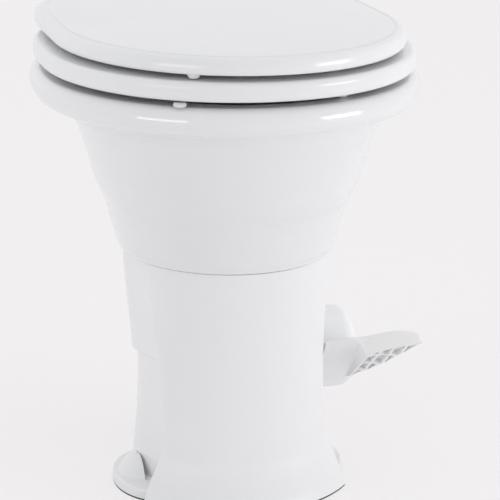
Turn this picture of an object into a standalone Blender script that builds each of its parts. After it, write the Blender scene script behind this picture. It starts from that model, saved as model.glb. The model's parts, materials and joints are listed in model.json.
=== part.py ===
# Gravity flush toilet for a motorhome: ceramic bowl on a moulded pedestal, seat and lid on one hinge line,
# and a foot pedal that turns a half ball valve under the bowl and opens the rinse valve.
# Metres, +Z up, the front of the bowl towards -Y, the pedal on the +X side, the floor at Z = 0.

import math

import bmesh
import bpy
import numpy as np
from mathutils import Matrix, Vector

# Driving sizes of the whole object
RIM_HALF_WIDTH = 0.1875
RIM_FRONT = 0.198
DECK_REAR = 0.245
SEAM_HEIGHT = 0.2435
BOWL_HEIGHT = 0.178
BASE_HALF_WIDTH = 0.1296
RIM_HEIGHT = 0.034
RIM_ROLL = 0.016
RIM_TOP = SEAM_HEIGHT + BOWL_HEIGHT
BALL_SHARE = 0.40123
BALL_RADIUS = BASE_HALF_WIDTH * BALL_SHARE
STATION_Y = (RIM_FRONT - DECK_REAR) / 2
FIT_GAP = 0.0003
OVERRUN = 0.02
RING_POINTS = 36
SIDES = (("left", -1), ("right", 1))

# Bowl
SEAM_WIDTH_SHARE = 0.8264
SEAM_HALF_WIDTH = BASE_HALF_WIDTH * SEAM_WIDTH_SHARE
SEAM_FRONT = 0.1138
SEAM_REAR = 0.1094
WALL_TOP_HALF_WIDTH = 0.1565
WALL_TOP_FRONT = 0.1635
WALL_TOP_REAR = 0.185
WALL_TOP_DROP = 0.0115
OPENING_HALF_WIDTH = 0.142
OPENING_FRONT = 0.163
OPENING_REAR = 0.150
BOWL_WALL = 0.0095
LIP_ROUND = 0.012
SEAM_ROUND = 0.0035
LEDGE = 0.0145
NECK_WALL = 0.0075
NECK_DROP = 0.0475
NECK_RADIUS = BALL_RADIUS
NECK_BORE = NECK_RADIUS - NECK_WALL
NECK_BOTTOM = SEAM_HEIGHT - NECK_DROP
NECK_FLANGE = 0.006
NECK_FLANGE_HEIGHT = 0.0045
BODY_FRONT_POWER = 2.03
RIM_REAR_POWER = 3.2

# Share of the way from seam to wall top in height, and of the growth in width, front and rear
BOWL_WALL_SHARES = (
    (0.84, 0.850, 0.80), (0.74, 0.765, 0.68), (0.58, 0.640, 0.55), (0.47, 0.545, 0.46),
    (0.39, 0.400, 0.37), (0.23, 0.235, 0.22), (0.08, 0.105, 0.09), (0.03, 0.060, 0.05),
)
# Share of the height from the neck bore's top to the opening, and of the growth in half width
BOWL_INSIDE_SHARES = (
    (0.84, 0.980, 1.03), (0.64, 0.890, 0.98), (0.43, 0.710, 0.79),
    (0.27, 0.520, 0.57), (0.15, 0.310, 0.33), (0.06, 0.070, 0.07),
)
# Share of the height from the neck to the ledge, and of the growth from neck to ledge, on the hidden belly
BOWL_BELLY_SHARES = ((0.75, 0.900), (0.37, 0.480), (0.13, 0.100))

# Pedestal
PEDESTAL_WALL = 0.0035
BASE_FRONT = 0.1293
REAR_ARC_PROUD = 0.006
REAR_ARC_DEPTH = 0.1035
MECHANISM_WIDTH = 0.0385
FLANK_HALF_WIDTH = BALL_RADIUS + MECHANISM_WIDTH
FLANK_RECESS = 0.0045
LEDGE_SHARE = 0.4743
LEDGE_HEIGHT = SEAM_HEIGHT * LEDGE_SHARE
LEDGE_DROP = 0.002
CORNER_BACK = 0.069
CORNER_RUN = 0.0025
CORNER_PROUD = 0.0008
ARC_POINTS = 17
FLANK_POINTS = 4
WINDOW_WIDTH_SHARE = 0.7293
WINDOW_RISE = 0.033
WINDOW_HALF_WIDTH = FLANK_HALF_WIDTH * WINDOW_WIDTH_SHARE
# Share of the height of the seam, share of the base half width, share of the flank half width
PEDESTAL_SHARES = (
    (1.00, 0.8210, 1.075), (0.91, 0.7916, 1.050), (0.826, 0.7762, 1.022), (0.74, 0.7600, 1.000),
    (0.60, 0.7390, 1.000), (0.50, 0.7290, 1.003),
)
# Share of the ledge height, share of the base half width, share of the corner's way back
SKIRT_SHARES = (
    (1.00, 0.7290, 0.650), (0.73, 0.7430, 0.670), (0.55, 0.7600, 0.700), (0.46, 0.7762, 0.730),
    (0.367, 0.7994, 0.770), (0.26, 0.8642, 0.840), (0.173, 0.9105, 0.900), (0.078, 0.9452, 0.960),
    (0.0, 1.0, 1.0),
)
LOBE_REACH = 0.0348
LOBE_HALF_LENGTH = 0.040
LOBE_HEIGHT = 0.034
LOBE_SOLE = 0.008
LOBE_POCKET_WIDTH = 0.015
LOBE_POCKET_BACK = 0.012
LOBE_ROOT = 0.0015

# Seat ring and lid
SEAT_GAP = 0.005
SEAT_THICKNESS = 0.0195
SEAT_INSET = 0.0013
SEAT_EDGE = 0.006
SEAT_REAR = 0.196
SEAT_REAR_POWER = 4.0
SEAT_OPENING_HALF_WIDTH = 0.108
SEAT_OPENING_FRONT = 0.140
SEAT_OPENING_REAR = 0.112
SEAT_CROWN = 0.0015
LID_GAP = 0.004
LID_INSET = 0.0107
LID_EDGE_HEIGHT = 0.0075
LID_EDGE_ROUND = 0.0025
LID_SHOULDER_HEIGHT = 0.0155
LID_SHOULDER_INSET = 0.0045
LID_CREASE_INSET = 0.0144
LID_CREASE_HEIGHT = 0.0172
LID_CREASE_DEPTH = 0.0006
LID_CREASE_WIDTH = 0.0022
LID_CROWN = 0.0038
LID_RECESS_RIM = 0.011
LID_RECESS_DEPTH = 0.0085
# Share of the plateau inside the crease, share of the crown's rise
LID_PLATEAU_SHARES = ((0.86, 0.42), (0.55, 0.86), (0.20, 0.99))
BUMPER_RADIUS = 0.0062
BUMPER_STEM_RADIUS = 0.003
BUMPER_STEM_DEPTH = 0.004
# Share of the half width and share of the length, front bumpers then rear bumpers
BUMPER_PLACE_SHARES = ((0.36, -0.86), (0.62, 0.70))

# Seat hinge
HINGE_Y = 0.225
HINGE_RISE = 0.0228
HINGE_SPREAD = 0.0775
HINGE_EYE_RADIUS = 0.009
HINGE_PIN_RADIUS = 0.004
HINGE_PIN_HEAD_RADIUS = 0.0062
HINGE_PIN_HEAD = 0.003
POST_WIDTH = 0.016
POST_FOOT_RADIUS = 0.0135
POST_FOOT = 0.004
LUG_WIDTH = 0.010
SEAT_LUG_HEIGHT = 0.012
LID_LUG_HEIGHT = 0.008
LUG_REACH = 0.022
HINGE_BOLT_RADIUS = 0.0035
HINGE_BOLT_DEPTH = 0.054
HINGE_NUT_RADIUS = 0.009
HINGE_NUT_HEIGHT = 0.008
HINGE_WING_REACH = 0.015
HINGE_WING_THICKNESS = 0.003
HINGE_WING_HEIGHT = 0.011
HINGE_WASHER = 0.003

# Half ball valve in its housing
BALL_DROP_SHARE = 0.5962
BALL_HEIGHT = NECK_BOTTOM - BALL_RADIUS * BALL_DROP_SHARE
BALL_WALL = 0.004
BALL_CLEARANCE = 0.0025
BALL_EAR_RADIUS = 0.007
BALL_EAR_LENGTH = 0.0065
BALL_EAR_INSET = 0.0015
BALL_SHAFT_RADIUS = 0.004
BALL_SHAFT_SOCKET = 0.004
HOUSING_WALL = 0.0035
SEAL_SPACE = 0.0058
HOUSING_FLANGE_TOP = NECK_BOTTOM - SEAL_SPACE
HOUSING_FLANGE_HEIGHT = 0.006
HORN_SHARE = 0.7308
HORN_RADIUS = BALL_RADIUS * HORN_SHARE
FLOOR_FLANGE_REACH = 0.024
FLOOR_FLANGE_RADIUS = HORN_RADIUS + FLOOR_FLANGE_REACH
FLOOR_FLANGE_HEIGHT = 0.006
FLOOR_FLANGE_BOTTOM = 0.003
FLOOR_SEAL_WIDTH = 0.014
FLOOR_SEAL_INSET = 0.003
SEAL_SPLIT_INSET = 0.0005
SEAL_SPLIT_RADIUS = BALL_RADIUS - SEAL_SPLIT_INSET
BALL_SEAL_LIP = 0.0006
SEAL_STEPS = 24
BAND_WALL = 0.0032
BAND_LIP = 0.002
BAND_EAR_REACH = 0.010
BAND_EAR_WIDTH = 0.012
BAND_SCREW_RADIUS = 0.0022
BAND_SCREW_HEAD_RADIUS = 0.0042
BAND_SCREW_HEAD = 0.003
BALL_BOSS_RADIUS = 0.011
BUSHING_WALL = 0.0032
BUSHING_FLANGE_RADIUS = 0.0095
BUSHING_FLANGE = 0.0015
GEAR_PLATE_STANDOFF = 0.004
GEAR_PLATE_INNER = BALL_RADIUS + GEAR_PLATE_STANDOFF
GEAR_PLATE_THICKNESS = 0.005
SHAFT_BOSS_RADIUS = 0.012
VALVE_EAR_RADIUS = 0.010

# Sector gear and pinion
GEAR_MODULE = 0.0024
SECTOR_TEETH = 36
PINION_TEETH = 16
PRESSURE_ANGLE = math.radians(20)
GEAR_BACKLASH = 0.00035
GEAR_FACE = 0.006
GEAR_STANDOFF = 0.004
GEAR_PLACE = GEAR_PLATE_INNER + GEAR_PLATE_THICKNESS + GEAR_STANDOFF
SECTOR_TEETH_CUT = 7
BALL_SHAFT_END = 0.002
PEDAL_TRAVEL = math.radians(40)
SHAFT_DROP_SHARE = 0.84936

# Foot pedal
SHAFT_RADIUS = 0.0052
SHAFT_COLLAR_RADIUS = 0.0085
HUB_REACH = 0.0465
PEDAL_OUTER = FLANK_HALF_WIDTH + HUB_REACH
HUB_RADIUS = 0.0427
HUB_WALL = 0.0035
HUB_ROUND = 0.015
HUB_BOSS_RADIUS = 0.010
HUB_END_WALL = 0.0055
CAP_RADIUS = 0.0125
CAP_DEPTH = 0.0025
CAP_CROWN = 0.0012
PAD_RIB = 0.0028
PAD_HOLLOW_DEPTH = 0.0080
PAD_ROW_PITCH = 0.023
PAD_ROWS = 3
PAD_REACH = 0.0955
PAD_TIP = FLANK_HALF_WIDTH + PAD_REACH
PAD_ARM_SHARE = 0.482
PAD_ARM_OUTER = FLANK_HALF_WIDTH + PAD_REACH * PAD_ARM_SHARE
PAD_EDGE_ROUND = 0.0018
# Pad sections across the pedestal, first the share of the reach, then each corner's place from the shaft's axis in
# shares of the hub's radius: front edge under and over, rear edge under and over
PAD_SECTION_SHARES = (
    (0.063, (-1.556, 0.480), (-1.532, 0.574), (-0.514, -0.843), (0.002, -0.515)),
    (0.257, (-1.743, 0.422), (-1.708, 0.621), (-0.514, -0.843), (0.002, -0.515)),
    (0.482, (-1.966, 0.398), (-1.919, 0.679), (-0.420, -0.808), (-0.186, -0.585)),
    (0.916, (-2.493, 0.703), (-2.434, 0.984), (-2.153, 0.398), (-2.013, 0.621)),
    (1.000, (-2.589, 0.679), (-2.528, 0.913), (-2.446, 0.562), (-2.340, 0.749)),
)

# Pedestal bushing, shaft bearing and return spring
PIVOT_BOSS_RADIUS = 0.0155
PIVOT_BOSS_DEPTH = 0.003
PEDAL_BUSHING_WALL = 0.0024
PEDAL_BUSHING_FLANGE_RADIUS = 0.0115
PEDAL_BUSHING_FLANGE = 0.003
SPRING_WIRE = 0.0008
SPRING_TURNS = 3.5
SPRING_PITCH = 0.00175
SPRING_TURN_POINTS = 10
SPRING_LEG = 0.016

# Rinse valve, its cam and plunger
CAM_COLLAR = 0.002
CAM_WIDTH = 0.004
CAM_BASE_RADIUS = 0.014
CAM_LIFT = 0.004
CAM_DWELL = math.radians(12)
PLUNGER_RADIUS = 0.002
PLUNGER_HEAD_RADIUS = 0.0045
PLUNGER_HEAD = 0.002
PLUNGER_HEAD_PLACE = 0.003
PLUNGER_LENGTH = 0.024
WATER_BODY_FRONT = 0.0600
WATER_BODY_LENGTH = 0.046
WATER_BODY_RADIUS = 0.0085
WATER_OUTLET_BACK = 0.0082
WATER_NOSE_RADIUS = 0.0055
WATER_NOSE = 0.008
INLET_RADIUS = 0.0066
INLET_BORE = 0.0042
INLET_HEX_RADIUS = 0.0095
INLET_HEX = 0.007
INLET_THREAD_RADIUS = 0.0095
INLET_THREAD_LENGTH = 0.022
INLET_LENGTH = 0.045
BARB_RADIUS = 0.0045
BARB_LENGTH = 0.012
HOSE_RADIUS = 0.0075
HOSE_SIDES_RESOLUTION = 2
CLAMP_WALL = 0.0012
CLAMP_WIDTH = 0.007
BREAKER_Y = 0.203
BREAKER_RADIUS = 0.014
BREAKER_HEIGHT = 0.036
BREAKER_CAP_RADIUS = 0.016
BREAKER_CAP = 0.009
SPUD_DROP = 0.0695
SPUD_HEIGHT = RIM_TOP - SPUD_DROP
BREAKER_DROP = 0.022
BREAKER_BOTTOM = SPUD_HEIGHT - BREAKER_DROP
SPUD_RADIUS = 0.0075
SPUD_BORE = 0.0045
SPUD_FLANGE_RADIUS = 0.013
SPUD_FLANGE = 0.003
SPUD_FLANGE_PLACE = 0.1785
SPUD_INNER_END = 0.1535
PORT_RADIUS = 0.0105
PORT_REACH = 0.0175
PORT_SOCKET = 0.009
# The hose's way from the rinse valve to the vacuum breaker, as the share left of X and the shares gone of Y and Z
HOSE_WAY_SHARES = ((0.932, 0.097, 0.306), (0.742, 0.297, 0.498), (0.445, 0.553, 0.675), (0.148, 0.838, 0.786))
HOSE_POINTS = 15

# Places worked out from the sizes above
GEAR_PLATE_OUTER = GEAR_PLATE_INNER + GEAR_PLATE_THICKNESS
GEAR_CENTRES = GEAR_MODULE * (SECTOR_TEETH + PINION_TEETH) / 2
SHAFT_DROP = GEAR_CENTRES * SHAFT_DROP_SHARE
SHAFT_HEIGHT = BALL_HEIGHT - SHAFT_DROP
SHAFT_Y = math.sqrt(GEAR_CENTRES ** 2 - SHAFT_DROP ** 2)
MESH_ANGLE = math.atan2(SHAFT_DROP, -SHAFT_Y)
BALL_BUSH_RADIUS = BALL_SHAFT_RADIUS + FIT_GAP + BUSHING_WALL
SHAFT_BEARING_RADIUS = SHAFT_RADIUS + FIT_GAP + PEDAL_BUSHING_WALL
BUSHING_RADIUS = SHAFT_BEARING_RADIUS
PEDAL_INNER = FLANK_HALF_WIDTH + PEDAL_BUSHING_FLANGE + 2 * FIT_GAP
WATER_X = GEAR_PLATE_INNER - WATER_BODY_RADIUS - FIT_GAP
WATER_REAR = WATER_BODY_FRONT + WATER_BODY_LENGTH
HOSE_Y = WATER_REAR - WATER_OUTLET_BACK
SPRING_RADIUS = BUSHING_RADIUS + 2 * FIT_GAP + SPRING_WIRE
WINDOW_Y = REAR_ARC_DEPTH / 2
WINDOW_TOP = SHAFT_HEIGHT + WINDOW_RISE
SHAFT_BORE_START = GEAR_PLATE_OUTER + BUSHING_FLANGE
SPUD_HOLE_START = OPENING_REAR / 2
HINGE_TAP = HINGE_RISE - HINGE_PIN_RADIUS - POST_FOOT / 2
DECK_UNDERSIDE = RIM_TOP - RIM_HEIGHT
BAND_SCREW_Y = NECK_RADIUS + NECK_FLANGE + BAND_WALL + BAND_EAR_REACH / 2
BAND_SCREW_Z = (HOUSING_FLANGE_TOP + NECK_BOTTOM) / 2

# A turned piece's local Z lies along the world axis named here
ALONG_X = Matrix(((0, 0, 1, 0), (1, 0, 0, 0), (0, 1, 0, 0), (0, 0, 0, 1)))
ALONG_Y = Matrix(((0, 1, 0, 0), (0, 0, 1, 0), (1, 0, 0, 0), (0, 0, 0, 1)))
ALONG_Z = Matrix.Identity(4)


def clear_scene():
    for obj in list(bpy.data.objects):
        bpy.data.objects.remove(obj, do_unlink=True)


def new_collection(name):
    group = bpy.data.collections.new(name)
    bpy.context.scene.collection.children.link(group)
    return group


def new_material(name, colour, roughness, metallic=0.0):
    """A Principled material with one colour."""
    made = bpy.data.materials.new(name)
    made.use_nodes = True
    shader = made.node_tree.nodes["Principled BSDF"]
    shader.inputs["Base Color"].default_value = (*colour, 1.0)
    shader.inputs["Roughness"].default_value = roughness
    shader.inputs["Metallic"].default_value = metallic
    return made


def add_object(name, mesh, place=ALONG_Z, at=(0, 0, 0), group=None):
    """Put a mesh in the scene, turned by place and moved to a point given from the bowl's widest station."""
    obj = bpy.data.objects.new(name, mesh)
    (group or PARTS).objects.link(obj)
    obj.matrix_world = Matrix.Translation(Vector(at) + Vector((0, STATION_Y, 0))) @ place
    for face in mesh.polygons:
        face.use_smooth = True
    return obj


def mesh_from(name, points, faces):
    mesh = bpy.data.meshes.new(name)
    mesh.from_pydata([tuple(map(float, point)) for point in points], [], faces)
    mesh.update()
    return mesh


def cutter(obj):
    """Hide a cutting shape and keep it apart from the parts."""
    for group in list(obj.users_collection):
        group.objects.unlink(obj)
    CUTTERS.objects.link(obj)
    obj.hide_render = True
    obj.display_type = "WIRE"
    return obj


def boolean(obj, other, operation):
    modifier = obj.modifiers.new(operation.lower(), "BOOLEAN")
    modifier.operation = operation
    modifier.solver = "EXACT"
    modifier.object = cutter(other)
    return obj


def cut(obj, other):
    return boolean(obj, other, "DIFFERENCE")


def join(obj, other):
    return boolean(obj, other, "UNION")


def paint(obj, made, angle=math.radians(32)):
    """Give the finished piece its material, with its modifiers kept and its edges sharp past an angle."""
    obj.data.materials.clear()
    obj.data.materials.append(made)
    obj.data.set_sharp_from_angle(angle=angle)
    return obj


def turned(name, profile, place=ALONG_Z, at=(0, 0, 0), steps=32):
    """Turn a closed profile of radius and height about local Z, its outer side running down."""
    points = list(profile)
    area = sum(a[0] * b[1] - b[0] * a[1] for a, b in zip(points, points[1:] + points[:1]))
    if area > 0:
        points.reverse()
    on_axis = [index for index, point in enumerate(points) if point[0] == 0]
    edges = [(index, (index + 1) % len(points)) for index in range(len(points))]
    if on_axis:
        edges = [edge for edge in edges if not (edge[0] in on_axis and edge[1] in on_axis)]
    mesh = bpy.data.meshes.new(name)
    mesh.from_pydata([(radius, 0.0, height) for radius, height in points], edges, [])
    obj = add_object(name, mesh, place, at)
    screw = obj.modifiers.new("turn", "SCREW")
    screw.steps = steps
    screw.render_steps = steps
    screw.use_merge_vertices = True
    screw.merge_threshold = 0.00001
    screw.use_smooth_shade = True
    screw.use_normal_calculate = False
    return obj


def rod(name, radius, start, end, place=ALONG_Z, at=(0, 0, 0), steps=18):
    """A plain round rod from start to end along its axis."""
    mesh = bpy.data.meshes.new(name)
    work = bmesh.new()
    bmesh.ops.create_cone(work, cap_ends=True, segments=steps, radius1=radius, radius2=radius,
                          depth=end - start)
    bmesh.ops.translate(work, verts=work.verts, vec=(0, 0, (start + end) / 2))
    work.to_mesh(mesh)
    work.free()
    return add_object(name, mesh, place, at)


def block(name, low, high, place=ALONG_Z, at=(0, 0, 0)):
    """A box between two corners."""
    mesh = bpy.data.meshes.new(name)
    work = bmesh.new()
    bmesh.ops.create_cube(work, size=1)
    size = Vector(high) - Vector(low)
    bmesh.ops.scale(work, verts=work.verts, vec=size)
    bmesh.ops.translate(work, verts=work.verts, vec=(Vector(high) + Vector(low)) / 2)
    work.to_mesh(mesh)
    work.free()
    return add_object(name, mesh, place, at)


def sphere(name, radius, at, scale=(1, 1, 1), steps=48):
    mesh = bpy.data.meshes.new(name)
    work = bmesh.new()
    bmesh.ops.create_uvsphere(work, u_segments=steps, v_segments=steps // 2, radius=radius)
    bmesh.ops.scale(work, verts=work.verts, vec=scale)
    work.to_mesh(mesh)
    work.free()
    return add_object(name, mesh, ALONG_Z, at)


def curve_mesh(name, curve, place=ALONG_Z, at=(0, 0, 0)):
    """Turn a curve into one closed mesh object and remove the curve."""
    helper = bpy.data.objects.new(name + "_curve", curve)
    PARTS.objects.link(helper)
    bpy.context.view_layer.update()
    graph = bpy.context.evaluated_depsgraph_get()
    mesh = bpy.data.meshes.new_from_object(helper.evaluated_get(graph))
    bpy.data.objects.remove(helper, do_unlink=True)
    work = bmesh.new()
    work.from_mesh(mesh)
    bmesh.ops.remove_doubles(work, verts=work.verts, dist=0.00001)
    bmesh.ops.recalc_face_normals(work, faces=work.faces)
    work.to_mesh(mesh)
    work.free()
    return add_object(name, mesh, place, at)


def add_spline(curve, points, cyclic=False):
    spline = curve.splines.new("POLY")
    spline.points.add(len(points) - 1)
    for slot, point in zip(spline.points, points):
        slot.co = (*point, 1.0)
    spline.use_cyclic_u = cyclic


def plate(name, outlines, thickness, place=ALONG_Z, at=(0, 0, 0)):
    """A flat piece: the first outline is its edge and the others are holes."""
    curve = bpy.data.curves.new(name, "CURVE")
    curve.dimensions = "2D"
    curve.fill_mode = "BOTH"
    curve.extrude = thickness / 2
    for outline in outlines:
        add_spline(curve, [(x, y, 0) for x, y in outline], cyclic=True)
    return curve_mesh(name, curve, place, at)


def tube(name, points, radius, resolution=HOSE_SIDES_RESOLUTION):
    """A round solid along a line of points."""
    curve = bpy.data.curves.new(name, "CURVE")
    curve.dimensions = "3D"
    curve.bevel_depth = radius
    curve.bevel_resolution = resolution
    curve.use_fill_caps = True
    add_spline(curve, points)
    return curve_mesh(name, curve)


def circle(radius, centre=(0, 0), count=24, start=0, sweep=2 * math.pi):
    """Points round a circle, or along an arc where sweep is less than a full turn."""
    whole = math.isclose(abs(sweep), 2 * math.pi)
    steps = count if whole else count - 1
    angles = [start + sweep * index / steps for index in range(count)]
    return [(centre[0] + radius * math.cos(angle), centre[1] + radius * math.sin(angle)) for angle in angles]


def power(value, exponent):
    return math.copysign(abs(value) ** (2 / exponent), value)


def egg(half_width, front, rear, height, front_power=BODY_FRONT_POWER, rear_power=2.0):
    """A ring round the bowl: half a superellipse to the front and half of another to the rear."""
    ring = []
    for index in range(RING_POINTS):
        angle = 2 * math.pi * index / RING_POINTS
        exponent = rear_power if math.sin(angle) > 0 else front_power
        length = rear if math.sin(angle) > 0 else front
        ring.append((half_width * power(math.cos(angle), exponent),
                     length * power(math.sin(angle), exponent), height))
    return ring


def loft(name, rings, closed=False):
    """Skin rings of equal count, closed on themselves or capped at both ends; the first lies outermost."""
    count = len(rings[0])
    points = [point for ring in rings for point in ring]
    faces = []
    for ring in range(len(rings) if closed else len(rings) - 1):
        here, there = ring * count, (ring + 1) % len(rings) * count
        for index in range(count):
            after = (index + 1) % count
            faces.append((here + index, there + index, there + after, here + after))
    if not closed:
        faces.append(tuple(range(count)))
        faces.append(tuple(range(len(points) - 1, len(points) - 1 - count, -1)))
    mesh = mesh_from(name, points, faces)
    work = bmesh.new()
    work.from_mesh(mesh)
    bmesh.ops.recalc_face_normals(work, faces=work.faces)
    work.to_mesh(mesh)
    work.free()
    return add_object(name, mesh)


def blend(low, high, share):
    return low + (high - low) * share


def rim_ring(angle):
    """Ring at an angle round the rim's roll: 90 degrees on top, 0 outermost, -90 underneath."""
    inset = RIM_ROLL * (1 - math.cos(angle))
    height = RIM_TOP - RIM_HEIGHT / 2 * (1 - math.sin(angle))
    return egg(RIM_HALF_WIDTH - inset, RIM_FRONT - inset, DECK_REAR - inset, height,
               rear_power=RIM_REAR_POWER)


def belly_ring(width, front, rear, height):
    return egg(width, front, rear, height, rear_power=2.2)


def make_bowl():
    """Glazed ceramic bowl: rolled rim, seat deck, stepped wall, ledge on the pedestal and outlet neck."""
    wall_top = RIM_TOP - RIM_HEIGHT - WALL_TOP_DROP
    rings = [rim_ring(math.radians(angle)) for angle in (90, 60, 33, 8, -18, -50, -90)]
    rings.append(belly_ring(WALL_TOP_HALF_WIDTH, WALL_TOP_FRONT, WALL_TOP_REAR, wall_top))
    for height, width, rear in BOWL_WALL_SHARES:
        rings.append(belly_ring(blend(SEAM_HALF_WIDTH, WALL_TOP_HALF_WIDTH, width),
                                blend(SEAM_FRONT, WALL_TOP_FRONT, width),
                                blend(SEAM_REAR, WALL_TOP_REAR, rear),
                                blend(SEAM_HEIGHT, wall_top, height)))
    under = SEAM_ROUND * 0.3
    rings.append(belly_ring(SEAM_HALF_WIDTH - under, SEAM_FRONT - under, SEAM_REAR - under,
                            SEAM_HEIGHT + under))
    rings.append(belly_ring(SEAM_HALF_WIDTH - SEAM_ROUND, SEAM_FRONT - SEAM_ROUND,
                            SEAM_REAR - SEAM_ROUND, SEAM_HEIGHT))
    ledge = (SEAM_HALF_WIDTH - LEDGE, SEAM_FRONT - LEDGE, SEAM_REAR - LEDGE)
    rings.append(belly_ring(*ledge, SEAM_HEIGHT))
    neck_top = NECK_BOTTOM + BOWL_WALL
    for height, width in BOWL_BELLY_SHARES:
        sizes = [blend(NECK_RADIUS, size, width) for size in ledge]
        rings.append(belly_ring(*sizes, blend(neck_top, SEAM_HEIGHT, height)))
    flange = NECK_RADIUS + NECK_FLANGE
    flange_top = NECK_BOTTOM + NECK_FLANGE_HEIGHT
    for radius, height in ((NECK_RADIUS, neck_top), (NECK_RADIUS, flange_top), (flange, flange_top),
                           (flange, NECK_BOTTOM), (NECK_BORE, NECK_BOTTOM), (NECK_BORE, neck_top)):
        rings.append(egg(radius, radius, radius, height, front_power=2.0))
    lip_height = RIM_TOP - LIP_ROUND
    for height, width, rear in reversed(BOWL_INSIDE_SHARES):
        rings.append(belly_ring(blend(NECK_BORE, OPENING_HALF_WIDTH, width),
                                blend(NECK_BORE, OPENING_FRONT, width),
                                blend(NECK_BORE, OPENING_REAR, rear),
                                blend(neck_top, lip_height, height)))
    for angle in (0, 45, 90):
        inset = LIP_ROUND * (1 - math.cos(math.radians(angle)))
        height = lip_height + LIP_ROUND * math.sin(math.radians(angle))
        rings.append(belly_ring(OPENING_HALF_WIDTH + inset, OPENING_FRONT + inset, OPENING_REAR + inset,
                                height))
    bowl = loft("bowl", rings, closed=True)
    spud_hole = rod("spud_hole", SPUD_RADIUS + FIT_GAP, 0, OPENING_REAR, ALONG_Y,
                    (0, SPUD_HOLE_START, SPUD_HEIGHT))
    cut(bowl, spud_hole)
    for side in (-1, 1):
        cut(bowl, rod("nut_seat", HINGE_NUT_RADIUS + HINGE_WASHER + FIT_GAP, -OVERRUN, 0, ALONG_Z,
                      (side * HINGE_SPREAD, HINGE_Y, DECK_UNDERSIDE), 20))
        cut(bowl, rod("hinge_bolt_hole", HINGE_BOLT_RADIUS + FIT_GAP, -HINGE_BOLT_DEPTH, OVERRUN, ALONG_Z,
                      (side * HINGE_SPREAD, HINGE_Y, RIM_TOP)))
    return paint(bowl, CERAMIC)


def pedestal_ring(height, half_width, front, flank, corner_back, inset=0.0):
    """Skirt arc in front, its rear edge, a flat flank and a rounder back, the same count at any height."""
    wide = half_width - inset
    deep = front - inset
    side = flank - inset
    arc_wide = flank + REAR_ARC_PROUD - inset
    arc_deep = REAR_ARC_DEPTH - inset
    back = corner_back + inset
    corner = wide * math.sqrt(max(1 - (back / deep) ** 2, 0))
    corner = max(corner, side + CORNER_PROUD)
    limit = math.acos(min(corner / wide, 1))
    turn = math.asin(min(back / deep, 1))
    start = (turn + limit) / 2
    right = []
    for index in range(ARC_POINTS // 2 + 1):
        angle = blend(math.pi / 2, start, index / (ARC_POINTS // 2))
        right.append((wide * math.cos(angle), -deep * math.sin(angle)))
    right[-1] = (corner, -back)
    rear_start = math.acos(side / arc_wide)
    rear_y = arc_deep * math.sin(rear_start)
    for index in range(FLANK_POINTS):
        share = index / (FLANK_POINTS - 1)
        right.append((side, blend(-back + CORNER_RUN, rear_y, share)))
    for index in range(1, ARC_POINTS // 2 + 1):
        angle = blend(rear_start, math.pi / 2, index / (ARC_POINTS // 2))
        right.append((arc_wide * math.cos(angle), arc_deep * math.sin(angle)))
    left = [(-x, y) for x, y in right[-2:0:-1]]
    return [(x, y, height) for x, y in right + left]


def pedestal_levels(inset):
    """Rings from the seam to the floor, outside where inset is zero and inside where it is the wall."""
    top = SEAM_HEIGHT - FIT_GAP
    slope = (SEAM_FRONT - SEAM_ROUND / 2) / (SEAM_HALF_WIDTH - CORNER_PROUD)
    levels = []
    for height, width, flank in PEDESTAL_SHARES:
        half_width = BASE_HALF_WIDTH * width
        side = min(FLANK_HALF_WIDTH * flank, half_width - 4 * CORNER_PROUD)
        front = slope * half_width
        back = front * math.sqrt(1 - ((side + CORNER_PROUD) / half_width) ** 2)
        levels.append((top * height, half_width, front, side, back))
    for height, width, back in SKIRT_SHARES:
        half_width = BASE_HALF_WIDTH * width
        front = blend(slope, BASE_FRONT / BASE_HALF_WIDTH, 1 - height) * half_width
        side = FLANK_HALF_WIDTH - FLANK_RECESS
        levels.append((LEDGE_HEIGHT * height, half_width, front, side, CORNER_BACK * back))
    rings = []
    for index, (height, half_width, front, side, back) in enumerate(levels):
        lift = inset if index in (5, 6) else 0
        if index == 5:
            height = LEDGE_HEIGHT + LEDGE_DROP
        rings.append(pedestal_ring(height + lift, half_width, front, side, back, inset))
    return rings


def make_pedestal():
    """Moulded shell, open under the bowl and on the floor, with a window at the back for the pipework."""
    outside = pedestal_levels(0)
    inside = pedestal_levels(PEDESTAL_WALL)[::2]
    pedestal = loft("pedestal", outside + inside[::-1], closed=True)
    side = FLANK_HALF_WIDTH - FLANK_RECESS
    for sign in (-1, 1):
        join(pedestal, make_lobe(sign, side))
    boss = rod("pivot_boss", PIVOT_BOSS_RADIUS, side - PEDESTAL_WALL - PIVOT_BOSS_DEPTH, FLANK_HALF_WIDTH,
               ALONG_X, (0, SHAFT_Y, SHAFT_HEIGHT))
    join(pedestal, boss)
    window = block("rear_window", (-WINDOW_HALF_WIDTH, 0, -OVERRUN),
                   (WINDOW_HALF_WIDTH, REAR_ARC_DEPTH + OVERRUN, WINDOW_TOP), at=(0, WINDOW_Y, 0))
    cut(pedestal, window)
    bore = rod("pivot_bore", BUSHING_RADIUS + FIT_GAP, 0, FLANK_HALF_WIDTH + OVERRUN, ALONG_X,
               (SHAFT_BORE_START, SHAFT_Y, SHAFT_HEIGHT))
    cut(pedestal, bore)
    return paint(pedestal, MOULDING)


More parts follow.
